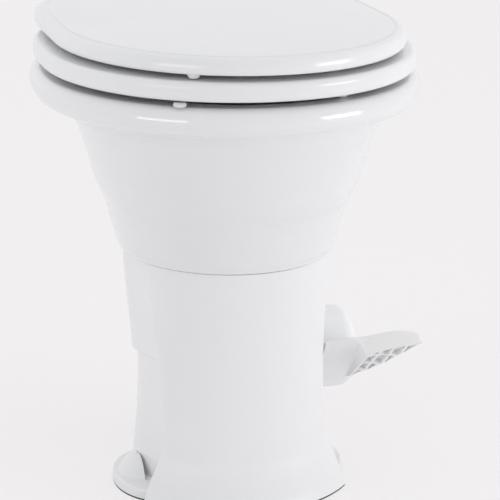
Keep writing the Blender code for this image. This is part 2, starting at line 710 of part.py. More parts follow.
def make_lobe(sign, side):
    """Quarter dome foot on a flank, hollowed from the front for its floor bolt."""
    lobe = sphere("lobe_dome", 1, (sign * (side - LOBE_ROOT), 0, 0),
                  (LOBE_REACH + LOBE_ROOT, LOBE_HALF_LENGTH, LOBE_HEIGHT), 20)
    cut(lobe, block("lobe_floor", (-LOBE_REACH - OVERRUN, -LOBE_HALF_LENGTH - OVERRUN, -LOBE_HEIGHT - OVERRUN),
                    (LOBE_REACH + OVERRUN, LOBE_HALF_LENGTH + OVERRUN, 0), at=(sign * side, 0, 0)))
    cut(lobe, block("lobe_inner", (-LOBE_REACH - OVERRUN, -LOBE_HALF_LENGTH - OVERRUN, -OVERRUN),
                    (0, LOBE_HALF_LENGTH + OVERRUN, LOBE_HEIGHT + OVERRUN),
                    Matrix.Diagonal((sign, 1, 1, 1)), (sign * (side - LOBE_ROOT), 0, 0)))
    pocket = block("lobe_pocket", (FIT_GAP, -LOBE_HALF_LENGTH - OVERRUN, LOBE_SOLE),
                   (LOBE_POCKET_WIDTH, LOBE_POCKET_BACK, LOBE_HEIGHT - PEDESTAL_WALL),
                   Matrix.Diagonal((sign, 1, 1, 1)), (sign * side, 0, 0))
    return cut(lobe, pocket)


def make_seat_ring():
    """Seat ring with rounded edges and a slight crown, its two hinge lugs at the back."""
    low = RIM_TOP + SEAT_GAP
    high = low + SEAT_THICKNESS
    outer = (RIM_HALF_WIDTH - SEAT_INSET, RIM_FRONT - SEAT_INSET, SEAT_REAR)
    inner = (SEAT_OPENING_HALF_WIDTH, SEAT_OPENING_FRONT, SEAT_OPENING_REAR)
    rings = []
    for angle in (-90, -45, 0, 45, 90):
        inset = SEAT_EDGE * (1 - math.cos(math.radians(angle)))
        height = (low if angle < 0 else high) - math.copysign(SEAT_EDGE, angle or 1) * (
            1 - abs(math.sin(math.radians(angle))))
        rings.append(egg(*(size - inset for size in outer), height, rear_power=SEAT_REAR_POWER))
    crown = [blend(a, b, 0.5) for a, b in zip(outer, inner)]
    rings.append(egg(*crown, high + SEAT_CROWN, rear_power=3.0))
    for angle in (90, 45, 0, -45, -90):
        inset = SEAT_EDGE * (1 - math.cos(math.radians(angle)))
        height = (low if angle < 0 else high) - math.copysign(SEAT_EDGE, angle or 1) * (
            1 - abs(math.sin(math.radians(angle))))
        rings.append(egg(*(size + inset for size in inner), height, rear_power=2.2))
    ring = loft("seat_ring", rings, closed=True)
    for sign in (-1, 1):
        start = HINGE_SPREAD + POST_WIDTH / 2 + FIT_GAP
        join(ring, hinge_lug("seat_lug", sign, start, low + SEAT_EDGE / 2, SEAT_LUG_HEIGHT))
        cut(ring, pin_hole(sign, start, LUG_WIDTH))
    return paint(ring, SEAT_PLASTIC)


def hinge_lug(name, sign, start, low, height):
    """Arm with a round eye from a seat or lid back to the hinge line."""
    eye_height = RIM_TOP + HINGE_RISE
    lug = rod(name, HINGE_EYE_RADIUS, start, start + LUG_WIDTH, Matrix.Diagonal((sign, 1, 1, 1)) @ ALONG_X,
              (0, HINGE_Y, eye_height))
    arm = block(name + "_arm", (start, -HINGE_Y + SEAT_REAR - LUG_REACH, low - eye_height),
                (start + LUG_WIDTH, 0, low - eye_height + height),
                Matrix.Diagonal((sign, 1, 1, 1)), (0, HINGE_Y, eye_height))
    return join(lug, arm)


def pin_hole(sign, start, length):
    return rod("pin_hole", HINGE_PIN_RADIUS + FIT_GAP, start - length, start + 2 * length,
               Matrix.Diagonal((sign, 1, 1, 1)) @ ALONG_X, (0, HINGE_Y, RIM_TOP + HINGE_RISE))


def make_lid():
    """Lid shell with a rounded side, a crease set in from it and a slightly crowned top."""
    low = RIM_TOP + SEAT_GAP + SEAT_THICKNESS + LID_GAP
    edge = (RIM_HALF_WIDTH - LID_INSET, RIM_FRONT - LID_INSET, SEAT_REAR)

    def ring(inset, height):
        return egg(*(size - inset for size in edge), low + height, rear_power=SEAT_REAR_POWER)

    rings = [ring(LID_RECESS_RIM + LID_RECESS_DEPTH / 4, LID_RECESS_DEPTH), ring(LID_RECESS_RIM, 0)]
    rings.append(ring(LID_EDGE_ROUND, 0))
    rings.append(ring(LID_EDGE_ROUND * 0.3, LID_EDGE_ROUND * 0.7))
    rings.append(ring(0, LID_EDGE_HEIGHT))
    rings.append(ring(LID_SHOULDER_INSET * 0.3, blend(LID_EDGE_HEIGHT, LID_SHOULDER_HEIGHT, 0.6)))
    rings.append(ring(LID_SHOULDER_INSET, LID_SHOULDER_HEIGHT))
    rings.append(ring(LID_CREASE_INSET - LID_CREASE_WIDTH, LID_CREASE_HEIGHT))
    rings.append(ring(LID_CREASE_INSET, LID_CREASE_HEIGHT - LID_CREASE_DEPTH))
    rings.append(ring(LID_CREASE_INSET + LID_CREASE_WIDTH, LID_CREASE_HEIGHT))
    plateau = [size - LID_CREASE_INSET - LID_CREASE_WIDTH for size in edge]
    for width, rise in LID_PLATEAU_SHARES:
        rings.append(egg(*(size * width for size in plateau), low + LID_CREASE_HEIGHT + LID_CROWN * rise,
                         rear_power=blend(2.4, SEAT_REAR_POWER, width)))
    lid = loft("lid", rings)
    for sign in (-1, 1):
        start = HINGE_SPREAD - POST_WIDTH / 2 - FIT_GAP - LUG_WIDTH
        join(lid, hinge_lug("lid_lug", sign, start, low + FIT_GAP, LID_LUG_HEIGHT))
        cut(lid, pin_hole(sign, start, LUG_WIDTH))
    return paint(lid, LID_PLASTIC)


def make_bumpers(name, half_width, front, rear, under, foot):
    """Four buffers pressed into the underside of the seat or lid, standing on what lies below."""
    made = []
    for (width, length), row in zip(BUMPER_PLACE_SHARES, ("front", "rear")):
        for side, sign in SIDES:
            place = (sign * width * half_width, length * (rear if length > 0 else front), 0)
            bumper = turned(f"{name}_{row}_{side}", ((0, under - FIT_GAP), (BUMPER_RADIUS * 0.8, under - FIT_GAP),
                                   (BUMPER_RADIUS, blend(under, foot, 0.3)), (BUMPER_RADIUS, blend(under, foot, 0.7)),
                                   (BUMPER_RADIUS * 0.7, foot + FIT_GAP), (0, foot + FIT_GAP)), at=place, steps=12)
            made.append(paint(bumper, BUMPER_RUBBER))
    return made


def make_hinge_posts():
    """Two posts on the deck, each a round foot, a neck and an eye between the seat and lid lugs."""
    for side, sign in SIDES:
        at = (sign * HINGE_SPREAD, HINGE_Y, RIM_TOP)
        post = rod(f"hinge_post_{side}", POST_FOOT_RADIUS, FIT_GAP, POST_FOOT, at=at, steps=20)
        neck = block("post_neck", (-POST_WIDTH / 2, -HINGE_EYE_RADIUS, POST_FOOT / 2),
                     (POST_WIDTH / 2, HINGE_EYE_RADIUS, HINGE_RISE), at=at)
        eye = rod("post_eye", HINGE_EYE_RADIUS, -POST_WIDTH / 2, POST_WIDTH / 2, ALONG_X,
                  (sign * HINGE_SPREAD, HINGE_Y, RIM_TOP + HINGE_RISE))
        join(post, neck)
        join(post, eye)
        cut(post, rod("post_bore", HINGE_PIN_RADIUS + FIT_GAP, -POST_WIDTH, POST_WIDTH, ALONG_X,
                      (sign * HINGE_SPREAD, HINGE_Y, RIM_TOP + HINGE_RISE)))
        cut(post, rod("post_tap", HINGE_BOLT_RADIUS + FIT_GAP, -OVERRUN, HINGE_TAP, at=at))
        paint(post, HINGE_PLASTIC)


def make_hinge_pins():
    """One headed pin through each post, seat lug and lid lug."""
    inner = HINGE_SPREAD - POST_WIDTH / 2 - LUG_WIDTH - 2 * FIT_GAP
    outer = HINGE_SPREAD + POST_WIDTH / 2 + LUG_WIDTH + 2 * FIT_GAP
    for side, sign in SIDES:
        low, high = sorted((sign * inner, sign * outer))
        pin = turned(f"hinge_pin_{side}", ((0, low - HINGE_PIN_HEAD), (HINGE_PIN_HEAD_RADIUS, low - HINGE_PIN_HEAD),
                             (HINGE_PIN_HEAD_RADIUS, low), (HINGE_PIN_RADIUS, low), (HINGE_PIN_RADIUS, high),
                             (HINGE_PIN_HEAD_RADIUS, high), (HINGE_PIN_HEAD_RADIUS, high + HINGE_PIN_HEAD),
                             (0, high + HINGE_PIN_HEAD)), ALONG_X, (0, HINGE_Y, RIM_TOP + HINGE_RISE), 14)
        paint(pin, STEEL)


def make_hinge_bolts():
    """Studs from the posts down through the deck."""
    for side, sign in SIDES:
        bolt = rod(f"hinge_bolt_{side}", HINGE_BOLT_RADIUS, -HINGE_BOLT_DEPTH, HINGE_TAP - FIT_GAP, ALONG_Z,
                   (sign * HINGE_SPREAD, HINGE_Y, RIM_TOP), 16)
        paint(bolt, HINGE_PLASTIC)


def make_hinge_nuts():
    """Wing nuts, each with its washer face against the deck's underside."""
    top = DECK_UNDERSIDE - FIT_GAP
    for side, sign in SIDES:
        at = (sign * HINGE_SPREAD, HINGE_Y, 0)
        nut = turned(f"hinge_nut_{side}", ((HINGE_BOLT_RADIUS + FIT_GAP, top), (HINGE_NUT_RADIUS + HINGE_WASHER, top),
                             (HINGE_NUT_RADIUS + HINGE_WASHER, top - HINGE_WASHER),
                             (HINGE_NUT_RADIUS, top - HINGE_WASHER),
                             (HINGE_NUT_RADIUS * 0.8, top - HINGE_WASHER - HINGE_NUT_HEIGHT),
                             (HINGE_BOLT_RADIUS + FIT_GAP, top - HINGE_WASHER - HINGE_NUT_HEIGHT)), at=at, steps=14)
        for wing in (-1, 1):
            low, high = sorted((wing * (HINGE_NUT_RADIUS - HINGE_WASHER), wing * HINGE_WING_REACH))
            join(nut, block("wing", (low, -HINGE_WING_THICKNESS / 2, top - HINGE_WASHER - HINGE_WING_HEIGHT),
                            (high, HINGE_WING_THICKNESS / 2, top - HINGE_WASHER - HINGE_WING_THICKNESS), at=at))
        paint(nut, HINGE_PLASTIC)


def arc_profile(radius, start, stop, count, centre=0.0):
    """Radius and height along a ball's side, the angle measured up from its middle."""
    angles = [blend(start, stop, index / (count - 1)) for index in range(count)]
    return [(radius * math.cos(angle), centre + radius * math.sin(angle)) for angle in angles]


def make_valve_body():
    """Round housing for the half ball with a top flange, discharge horn, floor flange and gear plate."""
    cavity = BALL_RADIUS + BALL_CLEARANCE
    outside = cavity + HOUSING_WALL
    flange_bottom = HOUSING_FLANGE_TOP - HOUSING_FLANGE_HEIGHT
    top_out = math.asin((flange_bottom - BALL_HEIGHT) / outside)
    top_in = math.asin((HOUSING_FLANGE_TOP - BALL_HEIGHT) / cavity)
    low_out = -math.acos(HORN_RADIUS / outside)
    low_in = -math.acos((HORN_RADIUS - HOUSING_WALL) / cavity)
    floor_top = FLOOR_FLANGE_BOTTOM + FLOOR_FLANGE_HEIGHT
    profile = [(NECK_RADIUS + NECK_FLANGE, HOUSING_FLANGE_TOP), (NECK_RADIUS + NECK_FLANGE, flange_bottom)]
    profile += arc_profile(outside, top_out, low_out, 8, BALL_HEIGHT)
    profile += [(HORN_RADIUS, floor_top), (FLOOR_FLANGE_RADIUS, floor_top),
                (FLOOR_FLANGE_RADIUS, FLOOR_FLANGE_BOTTOM), (0, FLOOR_FLANGE_BOTTOM), (0, HOUSING_FLANGE_TOP)]
    body = turned("valve_body", profile, steps=28)
    for sign in (-1, 1):
        low, high = sorted((0, sign * GEAR_PLATE_OUTER))
        join(body, rod("ball_boss", BALL_BOSS_RADIUS, low, high, ALONG_X, (0, 0, BALL_HEIGHT)))
    join(body, make_gear_plate())
    bore = arc_profile(cavity, top_in, low_in, 9, BALL_HEIGHT)
    bore = [(0, HOUSING_FLANGE_TOP + OVERRUN), (bore[0][0], HOUSING_FLANGE_TOP + OVERRUN)] + bore
    bore += [(bore[-1][0], -OVERRUN), (0, -OVERRUN)]
    cut(body, turned("valve_cavity", bore, steps=28))
    cut(body, rod("ball_bore", BALL_BUSH_RADIUS + FIT_GAP, -GEAR_PLATE_OUTER - OVERRUN,
                  GEAR_PLATE_OUTER + OVERRUN, ALONG_X, (0, 0, BALL_HEIGHT)))
    cut(body, rod("shaft_bore", SHAFT_BEARING_RADIUS + FIT_GAP, GEAR_PLATE_INNER - OVERRUN,
                  GEAR_PLATE_OUTER + OVERRUN, ALONG_X, (0, SHAFT_Y, SHAFT_HEIGHT)))
    return paint(body, VALVE_PLASTIC)


def make_gear_plate():
    """Side plate that carries the pedal shaft and the rinse valve, hulled round three round ends."""
    ends = ((0, BALL_HEIGHT, BALL_BOSS_RADIUS + BUSHING_WALL), (SHAFT_Y, SHAFT_HEIGHT, SHAFT_BOSS_RADIUS),
            (WATER_BODY_FRONT + WATER_BODY_LENGTH / 2, SHAFT_HEIGHT, VALVE_EAR_RADIUS))
    cloud = [point for y, z, radius in ends for point in circle(radius, (y, z), 14)]
    work = bmesh.new()
    for y, z in cloud:
        work.verts.new((y, z, 0))
    bmesh.ops.convex_hull(work, input=work.verts)
    centre = (np.mean([y for y, z in cloud]), np.mean([z for y, z in cloud]))
    rim = [vert.co for vert in work.verts if vert.link_edges]
    rim = sorted(rim, key=lambda co: math.atan2(co.y - centre[1], co.x - centre[0]))
    outline = [(co.x, co.y) for co in rim]
    work.free()
    middle = (GEAR_PLATE_INNER + GEAR_PLATE_OUTER) / 2
    return plate("gear_plate", [outline], GEAR_PLATE_THICKNESS, ALONG_X, (middle, 0, 0))


def ring_piece(name, inner, outer, low, high, made, place=ALONG_Z, at=(0, 0, 0), steps=32):
    """A plain turned ring of rectangular section."""
    profile = ((inner, high), (outer, high), (outer, low), (inner, low))
    return paint(turned(name, profile, place, at, steps), made)


def make_seals():
    """Lip seal that the ball turns against, flat seal between neck and housing, and floor seal."""
    low = HOUSING_FLANGE_TOP + FIT_GAP
    high = NECK_BOTTOM - FIT_GAP
    flats = math.cos(math.pi / SEAL_STEPS)
    lips = [(math.sqrt(BALL_RADIUS ** 2 - (height - BALL_HEIGHT) ** 2) + FIT_GAP) / flats for height in (low, high)]
    paint(turned("ball_seal", ((lips[1], high), (SEAL_SPLIT_RADIUS, high), (SEAL_SPLIT_RADIUS, low),
                               (lips[0] + BALL_SEAL_LIP, low)), steps=SEAL_STEPS), SEAL_RUBBER)
    ring_piece("bowl_seal", SEAL_SPLIT_RADIUS + FIT_GAP, NECK_RADIUS + NECK_FLANGE, low, high, SEAL_RUBBER,
               steps=24)
    outer = FLOOR_FLANGE_RADIUS - FLOOR_SEAL_INSET
    ring_piece("floor_seal", outer - FLOOR_SEAL_WIDTH, outer, FIT_GAP, FLOOR_FLANGE_BOTTOM - FIT_GAP,
               SEAL_RUBBER, steps=24)


def make_clamp_band():
    """Channel band that draws the neck and housing flanges together, with two ears for its screws."""
    low = HOUSING_FLANGE_TOP - HOUSING_FLANGE_HEIGHT - FIT_GAP
    high = NECK_BOTTOM + NECK_FLANGE_HEIGHT + FIT_GAP
    wall = NECK_RADIUS + NECK_FLANGE + FIT_GAP
    outer = wall + BAND_WALL
    lip = wall - BAND_LIP
    low_lip = wall - BAND_LIP / 4
    band = turned("clamp_band", ((lip, high + BAND_LIP), (outer, high + BAND_LIP), (outer, low - BAND_LIP),
                                 (low_lip, low - BAND_LIP), (low_lip, low), (wall, low), (wall, high),
                                 (lip, high)), steps=RING_POINTS)
    for sign in (-1, 1):
        near, far = sorted((sign * (outer - BAND_WALL / 2), sign * (outer + BAND_EAR_REACH)))
        join(band, block("band_ear", (-BAND_EAR_WIDTH / 2, near, low - BAND_LIP / 2),
                         (BAND_EAR_WIDTH / 2, far, high + BAND_LIP / 2)))
        cut(band, rod("band_screw_hole", BAND_SCREW_RADIUS + FIT_GAP, -BAND_EAR_WIDTH, BAND_EAR_WIDTH, ALONG_X,
                      (0, sign * BAND_SCREW_Y, BAND_SCREW_Z)))
    return paint(band, STEEL)


def make_clamp_screws():
    reach = BAND_EAR_WIDTH / 2 + FIT_GAP
    for end, sign in (("front", -1), ("rear", 1)):
        screw = turned(f"clamp_screw_{end}", ((0, reach + BAND_SCREW_HEAD), (BAND_SCREW_HEAD_RADIUS, reach + BAND_SCREW_HEAD),
                                 (BAND_SCREW_HEAD_RADIUS, reach), (BAND_SCREW_RADIUS, reach),
                                 (BAND_SCREW_RADIUS, -reach), (BAND_SCREW_HEAD_RADIUS, -reach),
                                 (BAND_SCREW_HEAD_RADIUS, -reach - BAND_SCREW_HEAD),
                                 (0, -reach - BAND_SCREW_HEAD)), ALONG_X, (0, sign * BAND_SCREW_Y, BAND_SCREW_Z), 12)
        paint(screw, STEEL)


def make_flush_ball():
    """Half of a hollow ball, its dome up, with an ear at each end of its axis."""
    inner = BALL_RADIUS - BALL_WALL
    profile = arc_profile(BALL_RADIUS, math.pi / 2, 0, 9) + arc_profile(inner, 0, math.pi / 2, 7)
    profile[0] = (0, BALL_RADIUS)
    profile[-1] = (0, inner)
    ball = turned("flush_ball", profile, at=(0, 0, BALL_HEIGHT), steps=24)
    for sign in (-1, 1):
        tip = BALL_RADIUS - BALL_EAR_INSET
        low, high = sorted((sign * (tip - BALL_EAR_LENGTH), sign * tip))
        join(ball, rod("ball_ear", BALL_EAR_RADIUS, low, high, ALONG_X, (0, 0, BALL_HEIGHT)))
        low, high = sorted((sign * (tip - BALL_SHAFT_SOCKET), sign * (tip + OVERRUN)))
        cut(ball, rod("ball_socket", BALL_SHAFT_RADIUS + FIT_GAP, low, high, ALONG_X, (0, 0, BALL_HEIGHT)))
    return paint(ball, BALL_PLASTIC)


def make_ball_shafts():
    """Stub shafts at both ends of the ball, the one on the pedal side long enough for the pinion."""
    start = BALL_RADIUS - BALL_EAR_INSET - BALL_SHAFT_SOCKET + FIT_GAP
    long_end = GEAR_PLACE + GEAR_FACE + BALL_SHAFT_END
    shaft = rod("ball_shaft_right", BALL_SHAFT_RADIUS, start, long_end, ALONG_X, (0, 0, BALL_HEIGHT), 20)
    stub = rod("ball_shaft_left", BALL_SHAFT_RADIUS, -GEAR_PLATE_OUTER, -start, ALONG_X, (0, 0, BALL_HEIGHT), 20)
    return paint(shaft, STEEL), paint(stub, STEEL)


def make_ball_bushings():
    """Flanged bushings in the housing's two bosses."""
    inner_end = BALL_RADIUS + BALL_CLEARANCE + FIT_GAP
    for side, sign in SIDES:
        profile = [(BALL_SHAFT_RADIUS + FIT_GAP, inner_end), (BALL_BUSH_RADIUS, inner_end),
                   (BALL_BUSH_RADIUS, GEAR_PLATE_OUTER + FIT_GAP),
                   (BUSHING_FLANGE_RADIUS, GEAR_PLATE_OUTER + FIT_GAP),
                   (BUSHING_FLANGE_RADIUS, GEAR_PLATE_OUTER + FIT_GAP + BUSHING_FLANGE),
                   (BALL_SHAFT_RADIUS + FIT_GAP, GEAR_PLATE_OUTER + FIT_GAP + BUSHING_FLANGE)]
        bushing = turned(f"ball_bushing_{side}", [(radius, sign * place) for radius, place in profile], ALONG_X,
                         (0, 0, BALL_HEIGHT), 14)
        paint(bushing, BEARING_PLASTIC)


def involute(angle):
    return math.tan(angle) - angle


def tooth_points(teeth, centre):
    """One tooth's outline about an angle, from root to root, with involute sides."""
    pitch = GEAR_MODULE * teeth / 2
    base = pitch * math.cos(PRESSURE_ANGLE)
    root = pitch - 1.25 * GEAR_MODULE
    tip = pitch + GEAR_MODULE
    half = (math.pi * GEAR_MODULE / 2 - GEAR_BACKLASH) / 2 / pitch
    start = max(base, root)
    radii = [root] + [blend(start, tip, share) for share in (0.0, 0.5, 1.0)]
    sides = []
    for radius in radii:
        lean = involute(PRESSURE_ANGLE) - involute(math.acos(min(base / max(radius, base), 1)))
        sides.append((radius, half + lean))
    sides = sides[1:] if base < root else sides
    rising = [(radius, centre - side) for radius, side in sides]
    falling = [(radius, centre + side) for radius, side in reversed(sides)]
    return [(radius * math.cos(angle), radius * math.sin(angle)) for radius, angle in rising + falling]


def make_sector_gear():
    """Sector on the pedal shaft, its teeth cut only where the pedal's travel needs them."""
    pitch_angle = 2 * math.pi / SECTOR_TEETH
    outline = []
    for index in range(SECTOR_TEETH_CUT):
        outline += tooth_points(SECTOR_TEETH, MESH_ANGLE + (index - SECTOR_TEETH_CUT + 2) * pitch_angle)
    first = MESH_ANGLE - (SECTOR_TEETH_CUT - 1.5) * pitch_angle
    last = MESH_ANGLE + 1.5 * pitch_angle
    root = GEAR_MODULE * (SECTOR_TEETH / 2 - 1.25)
    outline.insert(0, (root * math.cos(first), root * math.sin(first)))
    outline.append((root * math.cos(last), root * math.sin(last)))
    lean = math.radians(70)
    hub = SHAFT_COLLAR_RADIUS + BUSHING_WALL
    outline += circle(hub, count=12, start=last + lean, sweep=2 * math.pi - (last - first) - 2 * lean)
    bore = circle(SHAFT_RADIUS + FIT_GAP, count=20)
    middle = GEAR_PLACE + GEAR_FACE / 2
    gear = plate("sector_gear", [outline, bore], GEAR_FACE, ALONG_X, (middle, SHAFT_Y, SHAFT_HEIGHT))
    return paint(gear, GEAR_PLASTIC)


def make_ball_pinion():
    """Pinion on the ball's shaft, a gap of its teeth on the line of centres."""
    outline = []
    pitch_angle = 2 * math.pi / PINION_TEETH
    for index in range(PINION_TEETH):
        outline += tooth_points(PINION_TEETH, MESH_ANGLE + math.pi + (index + 0.5) * pitch_angle)
    bore = circle(BALL_SHAFT_RADIUS + FIT_GAP, count=16)
    middle = GEAR_PLACE + GEAR_FACE / 2
    pinion = plate("ball_pinion", [outline, bore], GEAR_FACE, ALONG_X, (middle, 0, BALL_HEIGHT))
    return paint(pinion, GEAR_PLASTIC)


def make_pedal_shaft():
    """Shaft from the cam through the gear plate and the pedestal wall into the pedal's hub."""
    collar_start = GEAR_PLATE_OUTER + BUSHING_FLANGE + 2 * FIT_GAP
    collar_end = GEAR_PLACE - FIT_GAP
    start = WATER_X - CAM_WIDTH / 2 - CAM_COLLAR
    end = PEDAL_OUTER - CAP_DEPTH - FIT_GAP
    profile = ((0, end), (SHAFT_RADIUS, end), (SHAFT_RADIUS, collar_end), (SHAFT_COLLAR_RADIUS, collar_end),
               (SHAFT_COLLAR_RADIUS, collar_start), (SHAFT_RADIUS, collar_start), (SHAFT_RADIUS, start), (0, start))
    shaft = turned("pedal_shaft", profile, ALONG_X, (0, SHAFT_Y, SHAFT_HEIGHT), 14)
    return paint(shaft, STEEL)


def make_shaft_bearings():
    """Flanged bearing in the gear plate and flanged bushing in the pedestal's wall."""
    inner = SHAFT_RADIUS + FIT_GAP
    at = (0, SHAFT_Y, SHAFT_HEIGHT)
    plate_face = GEAR_PLATE_OUTER + FIT_GAP
    bearing = turned("shaft_bearing", ((inner, plate_face + BUSHING_FLANGE),
                                       (BUSHING_FLANGE_RADIUS, plate_face + BUSHING_FLANGE),
                                       (BUSHING_FLANGE_RADIUS, plate_face), (SHAFT_BEARING_RADIUS, plate_face),
                                       (SHAFT_BEARING_RADIUS, GEAR_PLATE_INNER), (inner, GEAR_PLATE_INNER)),
                     ALONG_X, at, 14)
    paint(bearing, BEARING_PLASTIC)
    wall_face = FLANK_HALF_WIDTH + FIT_GAP
    sleeve_end = GEAR_PLACE + GEAR_FACE + 2 * FIT_GAP
    bushing = turned("pedal_bushing", ((inner, wall_face + PEDAL_BUSHING_FLANGE),
                                       (PEDAL_BUSHING_FLANGE_RADIUS, wall_face + PEDAL_BUSHING_FLANGE),
                                       (PEDAL_BUSHING_FLANGE_RADIUS, wall_face), (BUSHING_RADIUS, wall_face),
                                       (BUSHING_RADIUS, sleeve_end), (inner, sleeve_end)), ALONG_X, at, 16)
    paint(bushing, BEARING_PLASTIC)


def make_return_spring():
    """Torsion spring round the bushing's sleeve, its last turn run out into a straight leg."""
    start = GEAR_PLACE + GEAR_FACE + SPRING_WIRE + 2 * FIT_GAP
    count = int(SPRING_TURNS * SPRING_TURN_POINTS) + 1
    points = []
    for index in range(count):
        turn = index / SPRING_TURN_POINTS
        angle = 2 * math.pi * turn
        points.append((start + SPRING_PITCH * turn, SPRING_RADIUS * math.cos(angle),
                       SPRING_RADIUS * math.sin(angle)))
    last = 2 * math.pi * SPRING_TURNS
    for share in (0.5, 1.0):
        reach = SPRING_LEG * share
        points.append((points[count - 1][0], SPRING_RADIUS * math.cos(last) - reach * math.sin(last),
                       SPRING_RADIUS * math.sin(last) + reach * math.cos(last)))
    spring = tube("return_spring", points, SPRING_WIRE, 1)
    spring.matrix_world = Matrix.Translation((0, STATION_Y + SHAFT_Y, SHAFT_HEIGHT))
    return paint(spring, STEEL)


def pad_section(place):
    """Four corners of the pedal pad's section at one X, read between the sections given."""
    reach = (place - FLANK_HALF_WIDTH) / PAD_REACH
    for low, high in zip(PAD_SECTION_SHARES, PAD_SECTION_SHARES[1:]):
        if reach <= high[0]:
            break
    share = (reach - low[0]) / (high[0] - low[0])
    corners = [Vector(a).lerp(Vector(b), share) for a, b in zip(low[1:], high[1:])]
    return [Vector((SHAFT_Y, SHAFT_HEIGHT)) + corner * HUB_RADIUS for corner in corners]


def pad_under(place, back, depth):
    """Point in the pad: at an X, so far back from the front edge and so deep above the underside."""
    under_front, over_front, under_rear, over_rear = pad_section(place)
    along = (under_rear - under_front).normalized()
    up = Vector((-along.y, along.x))
    if up.y < 0:
        up = -up
    point = under_front + along * back + up * depth
    return (place, point.x, point.y)


def pad_reach(back):
    """Outermost X at which a hollow may lie this far back from the front edge."""
    reach = PAD_ARM_OUTER
    for place in np.linspace(PAD_ARM_OUTER, PAD_TIP - 2 * PAD_RIB, 60):
        corners = pad_section(float(place))
        if (corners[2] - corners[0]).length > back + PAD_RIB:
            reach = float(place)
    return reach


def make_pad():
    """Swept pad of the pedal: a solid arm by the hub and a ribbed wing hollow from below."""
    rings = []
    for share, *_ in PAD_SECTION_SHARES:
        place = FLANK_HALF_WIDTH + PAD_REACH * share
        under_front, over_front, under_rear, over_rear = pad_section(place)
        rings.append([(place, *corner) for corner in (under_front, over_front, over_rear, under_rear)])
    pad = loft("pedal_pad", rings)
    bevel = pad.modifiers.new("edges", "BEVEL")
    bevel.width = PAD_EDGE_ROUND
    bevel.segments = 2
    bevel.limit_method = "ANGLE"
    deep = PAD_HOLLOW_DEPTH
    for row in range(PAD_ROWS):
        near = PAD_RIB + PAD_EDGE_ROUND / 2 + row * PAD_ROW_PITCH
        far = near + PAD_ROW_PITCH - PAD_RIB
        start = PAD_ARM_OUTER + PAD_RIB / 2
        ends = (pad_reach(near), pad_reach(far))
        split = blend(start, min(ends), 0.5)
        for low, high in (((start, start), (split - PAD_RIB / 2,) * 2), ((split + PAD_RIB / 2,) * 2, ends)):
            if min(high) - max(low) > PAD_RIB:
                rings = [[pad_under(x[0], near, -OVERRUN / 4), pad_under(x[1], far, -OVERRUN / 4),
                          pad_under(x[1], far, deep), pad_under(x[0], near, deep)] for x in (low, high)]
                cut(pad, loft("pad_hollow", rings))
    return pad


def make_foot_pedal():
    """Pedal in one moulding: round hub barrel, open towards the pedestal, with the pad at its front."""
    bore = SHAFT_RADIUS + FIT_GAP
    wall = PEDAL_OUTER - HUB_END_WALL
    flat = HUB_RADIUS - HUB_ROUND
    profile = [(bore, PEDAL_INNER), (HUB_BOSS_RADIUS, PEDAL_INNER), (HUB_BOSS_RADIUS, wall),
               (flat - HUB_WALL, wall), (HUB_RADIUS - HUB_WALL, PEDAL_OUTER - HUB_ROUND - HUB_WALL),
               (HUB_RADIUS - HUB_WALL, PEDAL_INNER), (HUB_RADIUS, PEDAL_INNER)]
    for index in range(5):
        angle = math.pi / 2 * index / 4
        profile.append((flat + HUB_ROUND * math.cos(angle), PEDAL_OUTER - HUB_ROUND + HUB_ROUND * math.sin(angle)))
    profile += [(CAP_RADIUS + FIT_GAP, PEDAL_OUTER), (CAP_RADIUS + FIT_GAP, PEDAL_OUTER - CAP_DEPTH),
                (bore, PEDAL_OUTER - CAP_DEPTH)]
    pedal = turned("foot_pedal", profile, ALONG_X, (0, SHAFT_Y, SHAFT_HEIGHT), 32)
    join(pedal, make_pad())
    return paint(pedal, MOULDING)


def make_pedal_cap():
    cap = turned("pedal_cap", ((0, PEDAL_OUTER + CAP_CROWN), (CAP_RADIUS / 2, PEDAL_OUTER + CAP_CROWN * 0.75),
                               (CAP_RADIUS, PEDAL_OUTER), (CAP_RADIUS, PEDAL_OUTER - CAP_DEPTH + FIT_GAP),
                               (0, PEDAL_OUTER - CAP_DEPTH + FIT_GAP)), ALONG_X, (0, SHAFT_Y, SHAFT_HEIGHT), 24)
    return paint(cap, MOULDING)


def make_valve_cam():
    """Cam on the pedal shaft's inner end, its radius rising evenly over the pedal's travel."""
    outline = []
    step = math.radians(5)
    for index in range(int(2 * math.pi / step)):
        angle = step * index
        fall = math.radians(20)
        if angle <= PEDAL_TRAVEL:
            lift = angle / PEDAL_TRAVEL
        elif angle <= PEDAL_TRAVEL + CAM_DWELL:
            lift = 1
        else:
            lift = max(0, 1 - (angle - PEDAL_TRAVEL - CAM_DWELL) / fall)
        radius = CAM_BASE_RADIUS + CAM_LIFT * lift
        outline.append((radius * math.cos(-angle), radius * math.sin(-angle)))
    bore = circle(SHAFT_RADIUS + FIT_GAP, count=20)
    cam = plate("valve_cam", [outline, bore], CAM_WIDTH, ALONG_X, (WATER_X, SHAFT_Y, SHAFT_HEIGHT))
    return paint(cam, GEAR_PLASTIC)


